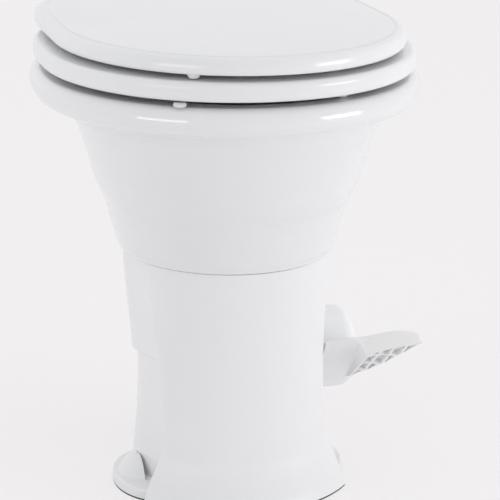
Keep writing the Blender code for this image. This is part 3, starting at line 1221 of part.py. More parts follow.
def make_valve_plunger():
    """Round-nosed plunger that the cam pushes into the rinse valve."""
    tip = SHAFT_Y + CAM_BASE_RADIUS + FIT_GAP
    nose = [(PLUNGER_RADIUS * math.cos(angle), tip + PLUNGER_RADIUS - PLUNGER_RADIUS * math.sin(angle))
            for angle in (0, math.pi / 6, math.pi / 3)]
    head = tip + PLUNGER_HEAD_PLACE
    profile = nose[::-1] + [(PLUNGER_RADIUS, head), (PLUNGER_HEAD_RADIUS, head),
                            (PLUNGER_HEAD_RADIUS, head + PLUNGER_HEAD), (PLUNGER_RADIUS, head + PLUNGER_HEAD),
                            (PLUNGER_RADIUS, tip + PLUNGER_LENGTH), (0, tip + PLUNGER_LENGTH)]
    plunger = turned("valve_plunger", [(0, tip)] + profile, ALONG_Y, (WATER_X, 0, SHAFT_HEIGHT), 12)
    return paint(plunger, STEEL)


def make_water_valve():
    """Brass body with a nose for the plunger, a foot on the gear plate and an outlet barb on top."""
    nose_end = WATER_BODY_FRONT + WATER_NOSE
    bore = PLUNGER_RADIUS + FIT_GAP
    depth = SHAFT_Y + CAM_BASE_RADIUS + PLUNGER_LENGTH + 2 * CAM_LIFT
    profile = ((0, depth), (bore, depth), (bore, WATER_BODY_FRONT), (WATER_NOSE_RADIUS, WATER_BODY_FRONT),
               (WATER_NOSE_RADIUS, nose_end), (WATER_BODY_RADIUS, nose_end), (WATER_BODY_RADIUS, WATER_REAR),
               (0, WATER_REAR))
    body = turned("water_valve_body", profile, ALONG_Y, (WATER_X, 0, SHAFT_HEIGHT), 24)
    foot = block("valve_foot", (WATER_NOSE_RADIUS, nose_end + WATER_NOSE_RADIUS, -WATER_NOSE_RADIUS),
                 (WATER_BODY_RADIUS, WATER_BODY_FRONT + WATER_BODY_LENGTH / 2 + WATER_NOSE_RADIUS,
                  WATER_NOSE_RADIUS), at=(WATER_X, 0, SHAFT_HEIGHT))
    join(body, foot)
    join(body, rod("outlet_barb", BARB_RADIUS, 0, WATER_BODY_RADIUS + BARB_LENGTH, ALONG_Z,
                   (WATER_X, HOSE_Y, SHAFT_HEIGHT), 16))
    return paint(body, BRASS)


def make_inlet_nipple():
    """Inlet fitting behind the rinse valve: hex, plain pipe and the thread that takes the supply line."""
    start = WATER_REAR + FIT_GAP
    end = start + INLET_LENGTH
    profile = ((INLET_BORE, end), (INLET_THREAD_RADIUS, end), (INLET_THREAD_RADIUS, end - INLET_THREAD_LENGTH),
               (INLET_RADIUS, end - INLET_THREAD_LENGTH), (INLET_RADIUS, start + INLET_HEX),
               (INLET_BORE, start + INLET_HEX))
    nipple = turned("inlet_nipple", profile, ALONG_Y, (WATER_X, 0, SHAFT_HEIGHT), 16)
    hexagon = plate("inlet_hex", [circle(INLET_HEX_RADIUS, count=6), circle(INLET_BORE, count=16)], INLET_HEX,
                    ALONG_Y, (WATER_X, start + INLET_HEX / 2 + FIT_GAP / 2, SHAFT_HEIGHT))
    return paint(join(nipple, hexagon), BRASS)


def smooth_way(points, count):
    """Points along a smooth curve through the given ones, with the first and last stretch straight."""
    points = [np.array(point) for point in points]
    legs = len(points) - 3
    way = [points[0]]
    for index in range(count):
        place = legs * index / (count - 1)
        leg = min(int(place), legs - 1)
        t = place - leg
        a, b, c, d = points[leg:leg + 4]
        way.append(0.5 * (2 * b + (c - a) * t + (2 * a - 5 * b + 4 * c - d) * t ** 2
                          + (3 * b - a - 3 * c + d) * t ** 3))
    way.append(points[-1])
    return [tuple(map(float, point)) for point in way]


def make_supply_hose():
    """Hose from the rinse valve's barb up behind the bowl to the vacuum breaker's barb."""
    bottom = SHAFT_HEIGHT + WATER_BODY_RADIUS + 2 * FIT_GAP
    top = BREAKER_BOTTOM - FIT_GAP
    straight = 2 * HOSE_RADIUS
    way = [(WATER_X * x, blend(HOSE_Y, BREAKER_Y, y), blend(bottom, top, z)) for x, y, z in HOSE_WAY_SHARES]
    route = [(WATER_X, HOSE_Y, bottom), (WATER_X, HOSE_Y, bottom + straight), *way,
             (0, BREAKER_Y, top - straight), (0, BREAKER_Y, top)]
    points = smooth_way(route, HOSE_POINTS)
    hose = tube("supply_hose", points, HOSE_RADIUS)
    ends = [(WATER_X, HOSE_Y, bottom - straight)] + points + [(0, BREAKER_Y, top + straight)]
    flats = math.cos(math.pi / (2 * HOSE_SIDES_RESOLUTION + 4))
    cut(hose, tube("hose_bore", ends, (BARB_RADIUS + FIT_GAP) / flats))
    return paint(hose, HOSE_RUBBER)


def make_hose_clamps():
    low = SHAFT_HEIGHT + WATER_BODY_RADIUS + CLAMP_WIDTH / 2
    high = BREAKER_BOTTOM - CLAMP_WIDTH * 1.5
    for end, x, y, bottom in (("lower", WATER_X, HOSE_Y, low), ("upper", 0, BREAKER_Y, high)):
        inner = HOSE_RADIUS + FIT_GAP
        clamp = turned(f"hose_clamp_{end}", ((inner, bottom + CLAMP_WIDTH), (inner + CLAMP_WALL, bottom + CLAMP_WIDTH),
                                 (inner + CLAMP_WALL, bottom), (inner, bottom)), ALONG_Z, (x, y, 0), 16)
        paint(clamp, STEEL)


def make_vacuum_breaker():
    """Vacuum breaker under the deck: barb below, cap above and a side port for the spud."""
    top = BREAKER_BOTTOM + BREAKER_HEIGHT
    profile = ((0, top), (BREAKER_CAP_RADIUS, top), (BREAKER_CAP_RADIUS, top - BREAKER_CAP),
               (BREAKER_RADIUS, top - BREAKER_CAP), (BREAKER_RADIUS, BREAKER_BOTTOM), (BARB_RADIUS, BREAKER_BOTTOM),
               (BARB_RADIUS, BREAKER_BOTTOM - BARB_LENGTH), (0, BREAKER_BOTTOM - BARB_LENGTH))
    breaker = turned("vacuum_breaker", profile, ALONG_Z, (0, BREAKER_Y, 0), 20)
    join(breaker, rod("side_port", PORT_RADIUS, -PORT_REACH, 0, ALONG_Y, (0, BREAKER_Y, SPUD_HEIGHT)))
    cut(breaker, rod("port_socket", SPUD_RADIUS + FIT_GAP, -PORT_REACH - OVERRUN, PORT_SOCKET - PORT_REACH,
                     ALONG_Y, (0, BREAKER_Y, SPUD_HEIGHT)))
    return paint(breaker, VALVE_PLASTIC)


def make_bowl_spud():
    """Flanged tube through the bowl's rear wall into the vacuum breaker's port."""
    end = BREAKER_Y - PORT_REACH + PORT_SOCKET - FIT_GAP
    flange = SPUD_FLANGE_PLACE
    profile = ((SPUD_BORE, end), (SPUD_RADIUS, end), (SPUD_RADIUS, flange + SPUD_FLANGE),
               (SPUD_FLANGE_RADIUS, flange + SPUD_FLANGE), (SPUD_FLANGE_RADIUS, flange), (SPUD_RADIUS, flange),
               (SPUD_RADIUS, SPUD_INNER_END), (SPUD_BORE, SPUD_INNER_END))
    return paint(turned("bowl_spud", profile, ALONG_Y, (0, 0, SPUD_HEIGHT), 16), VALVE_PLASTIC)


def pivot(name, at, pieces):
    """An empty on a joint's axis that carries the pieces that move about it."""
    empty = bpy.data.objects.new(name, None)
    PARTS.objects.link(empty)
    empty.location = Vector(at) + Vector((0, STATION_Y, 0))
    bpy.context.view_layer.update()
    for piece in pieces:
        piece.parent = empty
        piece.matrix_parent_inverse = empty.matrix_world.inverted()


def build():
    """Make every piece and hang the moving ones on their axes."""
    make_bowl()
    make_pedestal()
    ring = make_seat_ring()
    lid = make_lid()
    seat_low = RIM_TOP + SEAT_GAP
    seat_high = seat_low + SEAT_THICKNESS
    seat_bumpers = make_bumpers("seat_bumper", RIM_HALF_WIDTH - 2 * SEAT_EDGE, RIM_FRONT - 2 * SEAT_EDGE,
                                SEAT_REAR, seat_low, RIM_TOP)
    lid_bumpers = make_bumpers("lid_bumper", RIM_HALF_WIDTH - 4 * SEAT_EDGE, RIM_FRONT - 4 * SEAT_EDGE,
                               SEAT_REAR, seat_high + LID_GAP + LID_RECESS_DEPTH, seat_high + SEAT_CROWN)
    make_hinge_posts()
    make_hinge_pins()
    make_hinge_bolts()
    make_hinge_nuts()
    make_valve_body()
    make_seals()
    make_clamp_band()
    make_clamp_screws()
    make_ball_bushings()
    make_shaft_bearings()
    make_return_spring()
    make_water_valve()
    make_inlet_nipple()
    make_supply_hose()
    make_hose_clamps()
    make_vacuum_breaker()
    make_bowl_spud()
    hinge = (0, HINGE_Y, RIM_TOP + HINGE_RISE)
    pivot("seat_hinge", hinge, (ring, *seat_bumpers))
    pivot("lid_hinge", hinge, (lid, *lid_bumpers))
    pivot("pedal_pivot", (0, SHAFT_Y, SHAFT_HEIGHT),
          (make_foot_pedal(), make_pedal_cap(), make_pedal_shaft(), make_sector_gear(), make_valve_cam()))
    pivot("ball_pivot", (0, 0, BALL_HEIGHT), (make_flush_ball(), *make_ball_shafts(), make_ball_pinion()))
    pivot("plunger_slide", (WATER_X, SHAFT_Y + CAM_BASE_RADIUS, SHAFT_HEIGHT), (make_valve_plunger(),))


clear_scene()
PARTS = new_collection("rv_toilet")
CUTTERS = new_collection("cutters")
CERAMIC = new_material("glazed_ceramic", (0.86, 0.87, 0.88), 0.08)
MOULDING = new_material("white_moulding", (0.84, 0.85, 0.86), 0.22)
SEAT_PLASTIC = new_material("seat_plastic", (0.85, 0.86, 0.87), 0.18)
LID_PLASTIC = new_material("lid_plastic", (0.85, 0.86, 0.87), 0.2)
BUMPER_RUBBER = new_material("bumper_rubber", (0.8, 0.8, 0.79), 0.5)
HINGE_PLASTIC = new_material("hinge_plastic", (0.82, 0.83, 0.84), 0.3)
VALVE_PLASTIC = new_material("valve_plastic", (0.72, 0.73, 0.74), 0.4)
BALL_PLASTIC = new_material("ball_plastic", (0.62, 0.64, 0.66), 0.3)
BEARING_PLASTIC = new_material("bearing_plastic", (0.2, 0.2, 0.21), 0.45)
GEAR_PLASTIC = new_material("gear_plastic", (0.86, 0.84, 0.78), 0.4)
SEAL_RUBBER = new_material("seal_rubber", (0.03, 0.03, 0.03), 0.6)
HOSE_RUBBER = new_material("hose_rubber", (0.05, 0.05, 0.055), 0.55)
STEEL = new_material("stainless_steel", (0.62, 0.62, 0.6), 0.3, 1.0)
BRASS = new_material("brass", (0.7, 0.55, 0.3), 0.3, 1.0)
build()
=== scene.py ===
# Gravity flush toilet for a motorhome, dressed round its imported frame: moulded pedestal, half ball valve and its
# gears, ceramic bowl, rinse water line, foot pedal, seat and lid. Metres, +Z up, the front of the bowl towards -Y.
import json
import math

import bmesh
import bpy
import numpy as np
from mathutils import Matrix, Vector

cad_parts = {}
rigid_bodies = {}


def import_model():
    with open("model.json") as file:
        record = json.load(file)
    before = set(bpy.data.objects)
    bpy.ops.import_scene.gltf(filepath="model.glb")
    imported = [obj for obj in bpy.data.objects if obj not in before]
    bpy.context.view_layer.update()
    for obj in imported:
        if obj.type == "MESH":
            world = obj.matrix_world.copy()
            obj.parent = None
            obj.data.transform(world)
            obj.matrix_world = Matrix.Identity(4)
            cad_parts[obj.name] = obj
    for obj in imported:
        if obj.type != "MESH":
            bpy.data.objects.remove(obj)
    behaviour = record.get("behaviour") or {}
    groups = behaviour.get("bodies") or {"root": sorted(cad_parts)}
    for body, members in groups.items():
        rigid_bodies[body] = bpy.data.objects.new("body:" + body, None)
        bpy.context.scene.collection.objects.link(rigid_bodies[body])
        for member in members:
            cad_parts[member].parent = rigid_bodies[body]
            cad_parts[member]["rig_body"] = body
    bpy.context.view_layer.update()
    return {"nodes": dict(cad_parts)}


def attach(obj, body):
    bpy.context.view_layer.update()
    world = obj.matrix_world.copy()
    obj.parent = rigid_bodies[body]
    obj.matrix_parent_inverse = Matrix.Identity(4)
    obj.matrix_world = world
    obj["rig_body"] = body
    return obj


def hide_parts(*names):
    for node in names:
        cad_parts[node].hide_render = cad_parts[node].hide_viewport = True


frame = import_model()

# The camera: two metres off, left of the front and a little above the seat, with a long lens. All places below
# are counted from the bowl's widest station, which lies a little in front of the frame's middle.
STATION_Y = -0.0235
CAMERA_REACH = 2.0
CAMERA_LENS = 144.04
CAMERA_SENSOR = 36.0
AIM_SIDE = 0.0241
AIM_HEIGHT = 0.2353
# Azimuth, elevation and roll in degrees
CAMERA_ANGLES = (-16.48, 16.68, 0.38)
azimuth, elevation, roll = (math.radians(angle) for angle in CAMERA_ANGLES)

camera = bpy.data.objects.new("camera", bpy.data.cameras.new("camera"))
bpy.context.scene.collection.objects.link(camera)
bpy.context.scene.camera = camera
camera.data.lens = CAMERA_LENS
camera.data.sensor_width = CAMERA_SENSOR
back = Vector((math.sin(azimuth) * math.cos(elevation), -math.cos(azimuth) * math.cos(elevation),
               math.sin(elevation)))
right = Vector((math.cos(azimuth), math.sin(azimuth), 0))
up = back.cross(right)
aim = Vector((0, STATION_Y, AIM_HEIGHT)) + right * AIM_SIDE
level = Matrix((right, up, back)).transposed().to_4x4()
camera.matrix_world = Matrix.Translation(aim + back * CAMERA_REACH) @ level @ Matrix.Rotation(roll, 4, "Z")

# The room: a pale floor that fills the view and keeps a soft shadow, a strong soft box at the right that gives the
# long highlights on the rims, a weak one at the left, and a pale surround that is darker on the camera's side,
# where the studio is unlit. The camera and mirrored rays see the surround in the backdrop's own colour.
FLOOR_HALF = 6.0
FLOOR_COLOUR = (0.90, 0.885, 0.892)
FLOOR_ROUGHNESS = 0.9
FLOOR_SPECULAR = 0.1
SURROUND_COLOUR = (0.985, 0.985, 1.0)
SURROUND_LIGHT = 1.0
FRONT_COLOUR = (0.30, 0.305, 0.28)
# Cosine of the angle from the camera's direction at which the surround starts to darken
FRONT_EDGE = 0.38
BACKDROP_COLOUR = (0.892, 0.874, 0.883)
# Share of the backdrop's colour that the camera sees in the floor beside its lit one, so that the shadow stays faint
FLOOR_GLOW = 0.72
# Name, place, width, height, watts
SOFT_BOXES = (
    ("left_box", (-1.90, -1.38, 0.58), 1.25, 0.45, 5.4),
    ("right_box", (1.65, -1.42, 0.55), 1.00, 0.60, 10.0),
)


class Tone:
    """A shader socket in an expression: the operators on it add Math nodes to its tree."""

    def __init__(self, graph, socket):
        self.graph, self.socket = graph, socket

    def maths(self, operation, *values):
        return self.graph.node("ShaderNodeMath", {"operation": operation}, *values)

    def __add__(self, other):
        return self.maths("ADD", self, other)

    def __radd__(self, other):
        return self.maths("ADD", other, self)

    def __sub__(self, other):
        return self.maths("SUBTRACT", self, other)

    def __rsub__(self, other):
        return self.maths("SUBTRACT", other, self)

    def __mul__(self, other):
        return self.maths("MULTIPLY", self, other)

    def __rmul__(self, other):
        return self.maths("MULTIPLY", other, self)

    def band(self, low, high):
        """Nought below low, one above high, and a smooth rise between."""
        return self.graph.node("ShaderNodeMapRange", {"interpolation_type": "SMOOTHSTEP"}, self, low, high)


class Graph:
    """The nodes of a material or of the world. node() adds one: its type, its settings, and then the values or links
    of its sockets in order, or by name."""

    def __init__(self, owner):
        owner.use_nodes = True
        self.tree = owner.node_tree

    def set(self, socket, value):
        if isinstance(value, Tone):
            self.tree.links.new(value.socket, socket)
        else:
            socket.default_value = value

    def node(self, kind, settings, *values, output=0, **named):
        made = self.tree.nodes.new(kind)
        for setting, value in settings.items():
            setattr(made, setting, value)
        for index, value in enumerate(values):
            self.set(made.inputs[index], value)
        for socket, value in named.items():
            self.set(made.inputs[socket.replace("_", " ")], value)
        return Tone(self, made.outputs[output])

    def tint(self, share, low, high):
        """A colour between two, by a share of the way."""
        low, high = (colour if isinstance(colour, Tone) else (*colour, 1) for colour in (low, high))
        return self.node("ShaderNodeMix", {"data_type": "RGBA"}, output="Result", Factor=share, A=low, B=high)

    def show(self, end, share, first, second):
        """What the tree's output shows: a mix of two shaders, by a share of the way."""
        mix = self.node("ShaderNodeMixShader", {}, share, first, second)
        self.set(self.tree.nodes[end].inputs["Surface"], mix)


class Finish(Graph):
    """One material with a Principled shader."""

    def __init__(self, name, colour, roughness, metallic=0.0, **constants):
        self.material = bpy.data.materials.new(name)
        super().__init__(self.material)
        self.shader = self.tree.nodes["Principled BSDF"]
        self.feed("Base Color", (*colour, 1))
        self.feed("Roughness", roughness)
        self.feed("Metallic", metallic)
        for socket, value in constants.items():
            self.feed(socket.replace("_", " "), value)

    def feed(self, name, value):
        self.set(self.shader.inputs[name], value)

    def place(self, scale=(1, 1, 1)):
        """Where a point is on the object, stretched by scale along each axis."""
        point = self.node("ShaderNodeTexCoord", {}, output="Object")
        return self.node("ShaderNodeMapping", {}, point, Scale=scale)

    def height(self):
        """How high a point is above the floor."""
        return self.node("ShaderNodeSeparateXYZ", {}, self.place(), output="Z")

    def noise(self, scale, detail=2.0, rough=0.5, stretch=(1, 1, 1)):
        return self.node("ShaderNodeTexNoise", {}, Vector=self.place(stretch), Scale=scale, Detail=detail,
                         Roughness=rough)

    def bump(self, height, depth):
        """Relief of the given depth in metres, from a height between nought and one."""
        self.feed("Normal", self.node("ShaderNodeBump", {}, Height=height, Distance=depth, Strength=1.0))


floor_mesh = bpy.data.meshes.new("floor")
floor_corners = np.array(((-1, -1, 0), (1, -1, 0), (1, 1, 0), (-1, 1, 0))) * FLOOR_HALF
floor_mesh.from_pydata(floor_corners.tolist(), [], [(0, 1, 2, 3)])
floor = bpy.data.objects.new("floor", floor_mesh)
bpy.context.scene.collection.objects.link(floor)
floor_finish = Finish("pale_floor", FLOOR_COLOUR, FLOOR_ROUGHNESS, Specular_IOR_Level=FLOOR_SPECULAR)
floor_share = floor_finish.node("ShaderNodeLightPath", {}, output="Is Camera Ray") * FLOOR_GLOW
floor_light = floor_finish.node("ShaderNodeEmission", {}, (*BACKDROP_COLOUR, 1))
floor_finish.show("Material Output", floor_share, Tone(floor_finish, floor_finish.shader.outputs[0]), floor_light)
floor_mesh.materials.append(floor_finish.material)

for name, place, width, height, watts in SOFT_BOXES:
    lamp = bpy.data.objects.new(name, bpy.data.lights.new(name, "AREA"))
    bpy.context.scene.collection.objects.link(lamp)
    lamp.data.shape = "RECTANGLE"
    lamp.data.size, lamp.data.size_y = width, height
    lamp.data.energy = watts
    lamp.location = place
    lamp.rotation_euler = (aim - Vector(place)).to_track_quat("-Z", "Y").to_euler()

world = bpy.data.worlds.new("surround")
bpy.context.scene.world = world
sky = Graph(world)
way = sky.node("ShaderNodeTexCoord", {}, output="Generated")
facing = sky.node("ShaderNodeVectorMath", {"operation": "DOT_PRODUCT"}, way,
                  (math.sin(azimuth), -math.cos(azimuth), 0), output="Value")
sky_colour = sky.tint(facing.band(FRONT_EDGE, 1), SURROUND_COLOUR, FRONT_COLOUR)
surround = sky.node("ShaderNodeBackground", {}, sky_colour, SURROUND_LIGHT)
backdrop = sky.node("ShaderNodeBackground", {}, (*BACKDROP_COLOUR, 1))
camera_ray = sky.node("ShaderNodeLightPath", {}, output="Is Camera Ray")
glossy_ray = sky.node("ShaderNodeLightPath", {}, output="Is Glossy Ray")
sky.show("World Output", camera_ray.maths("MAXIMUM", camera_ray, glossy_ray), surround, backdrop)

bpy.context.scene.view_settings.view_transform = "Standard"

# The pedestal: one injection moulding in white ABS, open underneath. Its front is a skirt that flares to the
# floor and ends on each flank in a proud edge; the flanks are flat and step in below a ledge, and each carries a
# quarter-dome foot with a pocket for its floor bolt. A window at the back lets the pipes in.
SEAM_HEIGHT = 0.2435
SEAM_HALF_WIDTH = 0.1071
SEAM_FRONT = 0.1138
SEAM_REAR = 0.1094
SEAM_ROUND = 0.0035
FIT_GAP = 0.0003
BACK_DEPTH = 0.1035
FLANK_HALF_WIDTH = 0.0905
FLANK_SIDE = 0.0765
LEDGE_HEIGHT = 0.1440
FLOOR_GAP = 0.0018
REAR_POWER = 1.6
LEDGE_ROUND = 0.0016
CORNER_RUN = 0.0025
CORNER_PROUD = 0.0008
CORNER_ROUND = 0.0032
FLANK_ROUND = 0.010
SHELL_WALL = 0.0035
WALL_ROUND = CORNER_ROUND * 0.8
FOOT_ROUND = CORNER_ROUND * 0.5
# How many points of the skirt and of the back the rounds at the proud edge and behind the flank take up
SKIRT_TAKEN = 4
BACK_TAKEN = 9
# Share of the way from the last row above the ledge to the first below it, at which the ledge's round starts
BRINK_SHARE = 0.9
WINDOW_LOW = (-0.066, 0.0517, -0.02)
WINDOW_HIGH = (0.066, 0.16, 0.145)
WINDOW_ROUND = 0.004
# Height, then where the skirt's edge stands to the side and to the front, how much longer than wide the skirt's
# ellipse is, where the flank starts behind the edge, and where it ends to the side and to the back; the first rows
# lie above the ledge
UPPER_ROWS = ((SEAM_HEIGHT, 0.0938, 0.0487, 1.063, 0.0930, 0.1056, 0.0088),
              (0.2250, 0.0927, 0.0496, 1.062, 0.0919, 0.1048, 0.0091),
              (0.2050, 0.0903, 0.0510, 1.060, 0.0895, 0.1035, 0.0073),
              (0.1800, 0.0881, 0.0527, 1.057, 0.0873, 0.1023, 0.0009),
              (0.1650, 0.0866, 0.0555, 1.053, 0.0858, 0.1017, -0.0042),
              (0.1500, 0.0854, 0.0584, 1.049, 0.0846, 0.1014, -0.0091))
LOWER_ROWS = ((LEDGE_HEIGHT, 0.0850, 0.0596, 1.046, 0.0825, 0.0968, -0.0187),
              (0.1260, 0.0843, 0.0622, 1.038, 0.0815, 0.0965, -0.0195),
              (0.1050, 0.0836, 0.0660, 1.022, 0.0800, 0.0964, -0.0192),
              (0.0850, 0.0831, 0.0705, 1.004, 0.0785, 0.0971, -0.0175),
              (0.0700, 0.0838, 0.0738, 0.988, 0.0772, 0.0976, -0.0155),
              (0.0600, 0.0858, 0.0738, 0.979, 0.0765, 0.0980, -0.0125),
              (0.0500, 0.0885, 0.0734, 0.970, 0.0758, 0.0982, -0.0093),
              (0.0400, 0.0925, 0.0735, 0.957, 0.0752, 0.0985, -0.0070),
              (0.0300, 0.0966, 0.0726, 0.946, 0.0752, 0.0991, -0.0044),
              (0.0200, 0.1005, 0.0715, 0.935, 0.0752, 0.0994, -0.0023),
              (0.0100, 0.1035, 0.0722, 0.925, 0.0752, 0.1000, -0.0013),
              (FLOOR_GAP, 0.1068, 0.0733, 0.918, 0.0752, 0.1004, -0.0012))
BOSS_RADIUS = 0.0155
BOSS_BORE = 0.0084
# In from the boss's radius and back from its face, round its edge
BOSS_EDGE = ((0, 0.0010), (0.0004, 0.0003), (0.0012, 0))
SHAFT_HEIGHT = 0.112
SHAFT_Y = 0.03294
MOULDING_COLOUR = (0.825, 0.83, 0.842)
SHARP_ANGLE = math.radians(38)
MERGE_REACH = 1e-6


def shade(colour, share):
    """The colour made lighter or darker by a share."""
    return tuple(min(channel * share, 1.0) for channel in colour)


def grained(name, colour, roughness, grain=0.00004):
    """Moulded plastic: a fine sparked grain, faint flow marks in its tone, and scuffs that dull it near the floor."""
    finish = Finish(name, colour, roughness, IOR=1.5)
    flow = finish.noise(9.0, 3.0, 0.55, (1, 1, 0.35))
    dust = finish.noise(55.0, 4.0, 0.65)
    low = 1 - finish.height().band(0.004, 0.075)
    worn = finish.tint(flow.band(0.3, 0.75) * 0.5 + low * dust * 0.35, colour, shade(colour, 0.955))
    finish.feed("Base Color", worn)
    scuffs = finish.noise(420.0, 2.0, 0.6, (1, 1, 0.12)).band(0.56, 0.78)
    finish.feed("Roughness", roughness + dust.band(0.35, 0.8) * 0.05 + scuffs * 0.05 + low * dust * 0.10)
    finish.bump(finish.noise(1500.0, 2.0, 0.5) * 0.7 + finish.noise(120.0, 2.0, 0.5) * 0.3, grain)
    return finish.material


def skin(name, grid, finish=None, body=None, wrap_rows=False, wrap_columns=True):
    """A mesh over a grid of points: each cell between rows i, i + 1 and columns j, j + 1 is one face, and where
    rows or columns wrap, the last meets the first. Points that coincide are merged and faces turned outwards."""
    rows, columns = grid.shape[:2]
    index = np.arange(rows * columns).reshape(rows, columns)
    if wrap_rows:
        index = np.vstack((index, index[:1]))
    if wrap_columns:
        index = np.hstack((index, index[:, :1]))
    faces = np.stack((index[:-1, :-1], index[:-1, 1:], index[1:, 1:], index[1:, :-1]), -1).reshape(-1, 4)
    mesh = bpy.data.meshes.new(name)
    mesh.vertices.add(rows * columns)
    mesh.vertices.foreach_set("co", (grid + (0, STATION_Y, 0)).astype(np.float32).ravel())
    mesh.loops.add(faces.size)
    mesh.loops.foreach_set("vertex_index", faces.ravel())
    mesh.polygons.add(len(faces))
    mesh.polygons.foreach_set("loop_start", np.arange(0, faces.size, 4))
    mesh.update(calc_edges=True)
    return placed(name, mesh, finish, body)


def placed(name, mesh, finish, body):
    """Close and smooth a mesh and put it on its body with its finish; a piece of no body is a cutting shape."""
    work = bmesh.new()
    work.from_mesh(mesh)
    bmesh.ops.remove_doubles(work, verts=work.verts, dist=MERGE_REACH)
    bmesh.ops.recalc_face_normals(work, faces=work.faces)
    work.to_mesh(mesh)
    work.free()
    mesh.shade_smooth()
    piece = bpy.data.objects.new(name, mesh)
    bpy.context.scene.collection.objects.link(piece)
    if body:
        mesh.materials.clear()
        mesh.materials.append(finish)
        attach(piece, body)
    return piece


def capped(grid):
    """The grid with a row added at each end, all at the middle of the row beside it, so that its ends close."""
    ends = [np.broadcast_to(row.mean(0), row.shape) for row in (grid[0], grid[-1])]
    return np.concatenate((ends[:1], grid, ends[1:]))


def through(rows, steps):
    """A smooth way through given rows of points: between two rows a cubic, whose slope at each row is the mean of
    the slopes on its two sides, each weighted by the other side's length."""
    rows = np.asarray(rows, float)
    flat = rows.reshape(len(rows), -1)
    gaps = np.linalg.norm(np.diff(flat, axis=0), axis=1)[:, None]
    rates = np.diff(flat, axis=0) / gaps
    inner = (rates[:-1] * gaps[1:] + rates[1:] * gaps[:-1]) / (gaps[:-1] + gaps[1:])
    slopes = np.vstack((rates[:1], inner, rates[-1:]))
    place = np.linspace(0, len(rows) - 1, (len(rows) - 1) * steps + 1)
    leg = np.minimum(place.astype(int), len(rows) - 2)
    t, gap = (place - leg)[:, None], gaps[leg]
    made = ((1 + 2 * t) * (1 - t) ** 2 * flat[leg] + t * (1 - t) ** 2 * gap * slopes[leg]
            + t ** 2 * (3 - 2 * t) * flat[leg + 1] + t ** 2 * (t - 1) * gap * slopes[leg + 1])
    return made.reshape(-1, *rows.shape[1:])


def round_corner(before, corner, after, count):
    """Points on the parabola that leaves one side at before, turns under the corner and meets the other at after."""
    t = np.linspace(0, 1, count)[:, None]
    return (1 - t) ** 2 * before + 2 * t * (1 - t) * corner + t ** 2 * after


def toward(start, goal, distance):
    """The point a distance from start on the way to goal, and never past the middle."""
    way = goal - start
    length = np.linalg.norm(way)
    return start + way * min(distance / length, 0.5)


def pedestal_ring(height, edge_side, edge_front, lean, flank_start, flank_side, flank_end, inset):
    """Half a ring in plan, from the middle of the front to the middle of the back: an elliptic skirt, its proud
    edge with a small round, the short return wall, the straight flank, and a back narrower than an ellipse."""
    wide = math.hypot(edge_side, edge_front / lean) - inset
    deep, back_place = wide * lean, edge_front + inset
    foot = np.array((min(flank_start, edge_side - CORNER_PROUD) - inset, -back_place + CORNER_RUN))
    corner = max(wide * math.sqrt(max(1 - (back_place / deep) ** 2, 0)), foot[0] + CORNER_PROUD)
    turn = math.atan2(back_place / deep, corner / wide)
    angles = np.linspace(math.pi / 2, turn, 42)
    skirt = np.stack((wide * np.cos(angles), -deep * np.sin(angles)), -1)
    edge = np.array((corner, -back_place))
    rear = np.array((flank_side - inset, flank_end))
    start = toward(edge, skirt[-SKIRT_TAKEN], CORNER_ROUND)
    wall = toward(edge, foot, WALL_ROUND)
    flat = toward(foot, rear, CORNER_ROUND)
    inner = toward(foot, edge, FOOT_ROUND)
    angles = np.linspace(0, math.pi / 2, 40)[1:]
    rear_arc = np.stack((rear[0] * np.cos(angles) ** (2 / REAR_POWER),
                         flank_end + (BACK_DEPTH - inset - flank_end) * np.sin(angles) ** (2 / REAR_POWER)), -1)
    soft_start, soft_end = toward(rear, flat, FLANK_ROUND), rear_arc[BACK_TAKEN]
    ring = np.vstack((skirt[:-SKIRT_TAKEN], round_corner(start, edge, wall, 7), round_corner(inner, foot, flat, 5),
                      flat + (soft_start - flat) * np.linspace(0, 1, 10)[1:-1, None],
                      round_corner(soft_start, rear, soft_end, 9), rear_arc[BACK_TAKEN + 1:]))
    return np.column_stack((ring, np.full(len(ring), height)))


def inner_rows():
    """Rings of the inside, a wall's thickness in, which pass the ledge in one slope."""
    rows = UPPER_ROWS[:4] + LOWER_ROWS[1:]
    rings = [pedestal_ring(*row, SHELL_WALL) for row in rows]
    rings[0][:, 2] -= FIT_GAP
    return through(rings, 3)


def outer_rows():
    """Rings of the outside, from the seam down to the ledge, over its round, and down the skirt to the floor."""
    upper = [pedestal_ring(*row, 0) for row in UPPER_ROWS]
    upper[0][:, 2] -= FIT_GAP
    brink = [a + (b - a) * BRINK_SHARE for a, b in zip(UPPER_ROWS[-1], LOWER_ROWS[0])]
    brink[0], brink[4:] = LEDGE_HEIGHT + LEDGE_ROUND, UPPER_ROWS[-1][4:]
    upper.append(pedestal_ring(*brink, 0))
    lower = [pedestal_ring(*row, 0) for row in LOWER_ROWS]
    return np.concatenate((through(upper, 9), through(lower, 7)))


def turned(profile, at, count):
    """A profile of radius and place along the X axis through at, carried round that axis: row i, column j is the
    point at radius i, place i and the j-th angle."""
    profile = np.asarray(profile, float)
    angles = 2 * math.pi * np.arange(count) / count
    radius, along = profile[:, :1], np.broadcast_to(profile[:, 1:], (len(profile), count))
    return np.stack((along, radius * np.cos(angles), radius * np.sin(angles)), -1) + np.asarray(at, float)


def both_sides(half):
    """A half ring and its mirror image about the middle plane, as one closed ring."""
    return np.concatenate((half, half[:, -2:0:-1] * (-1, 1, 1)), axis=1)


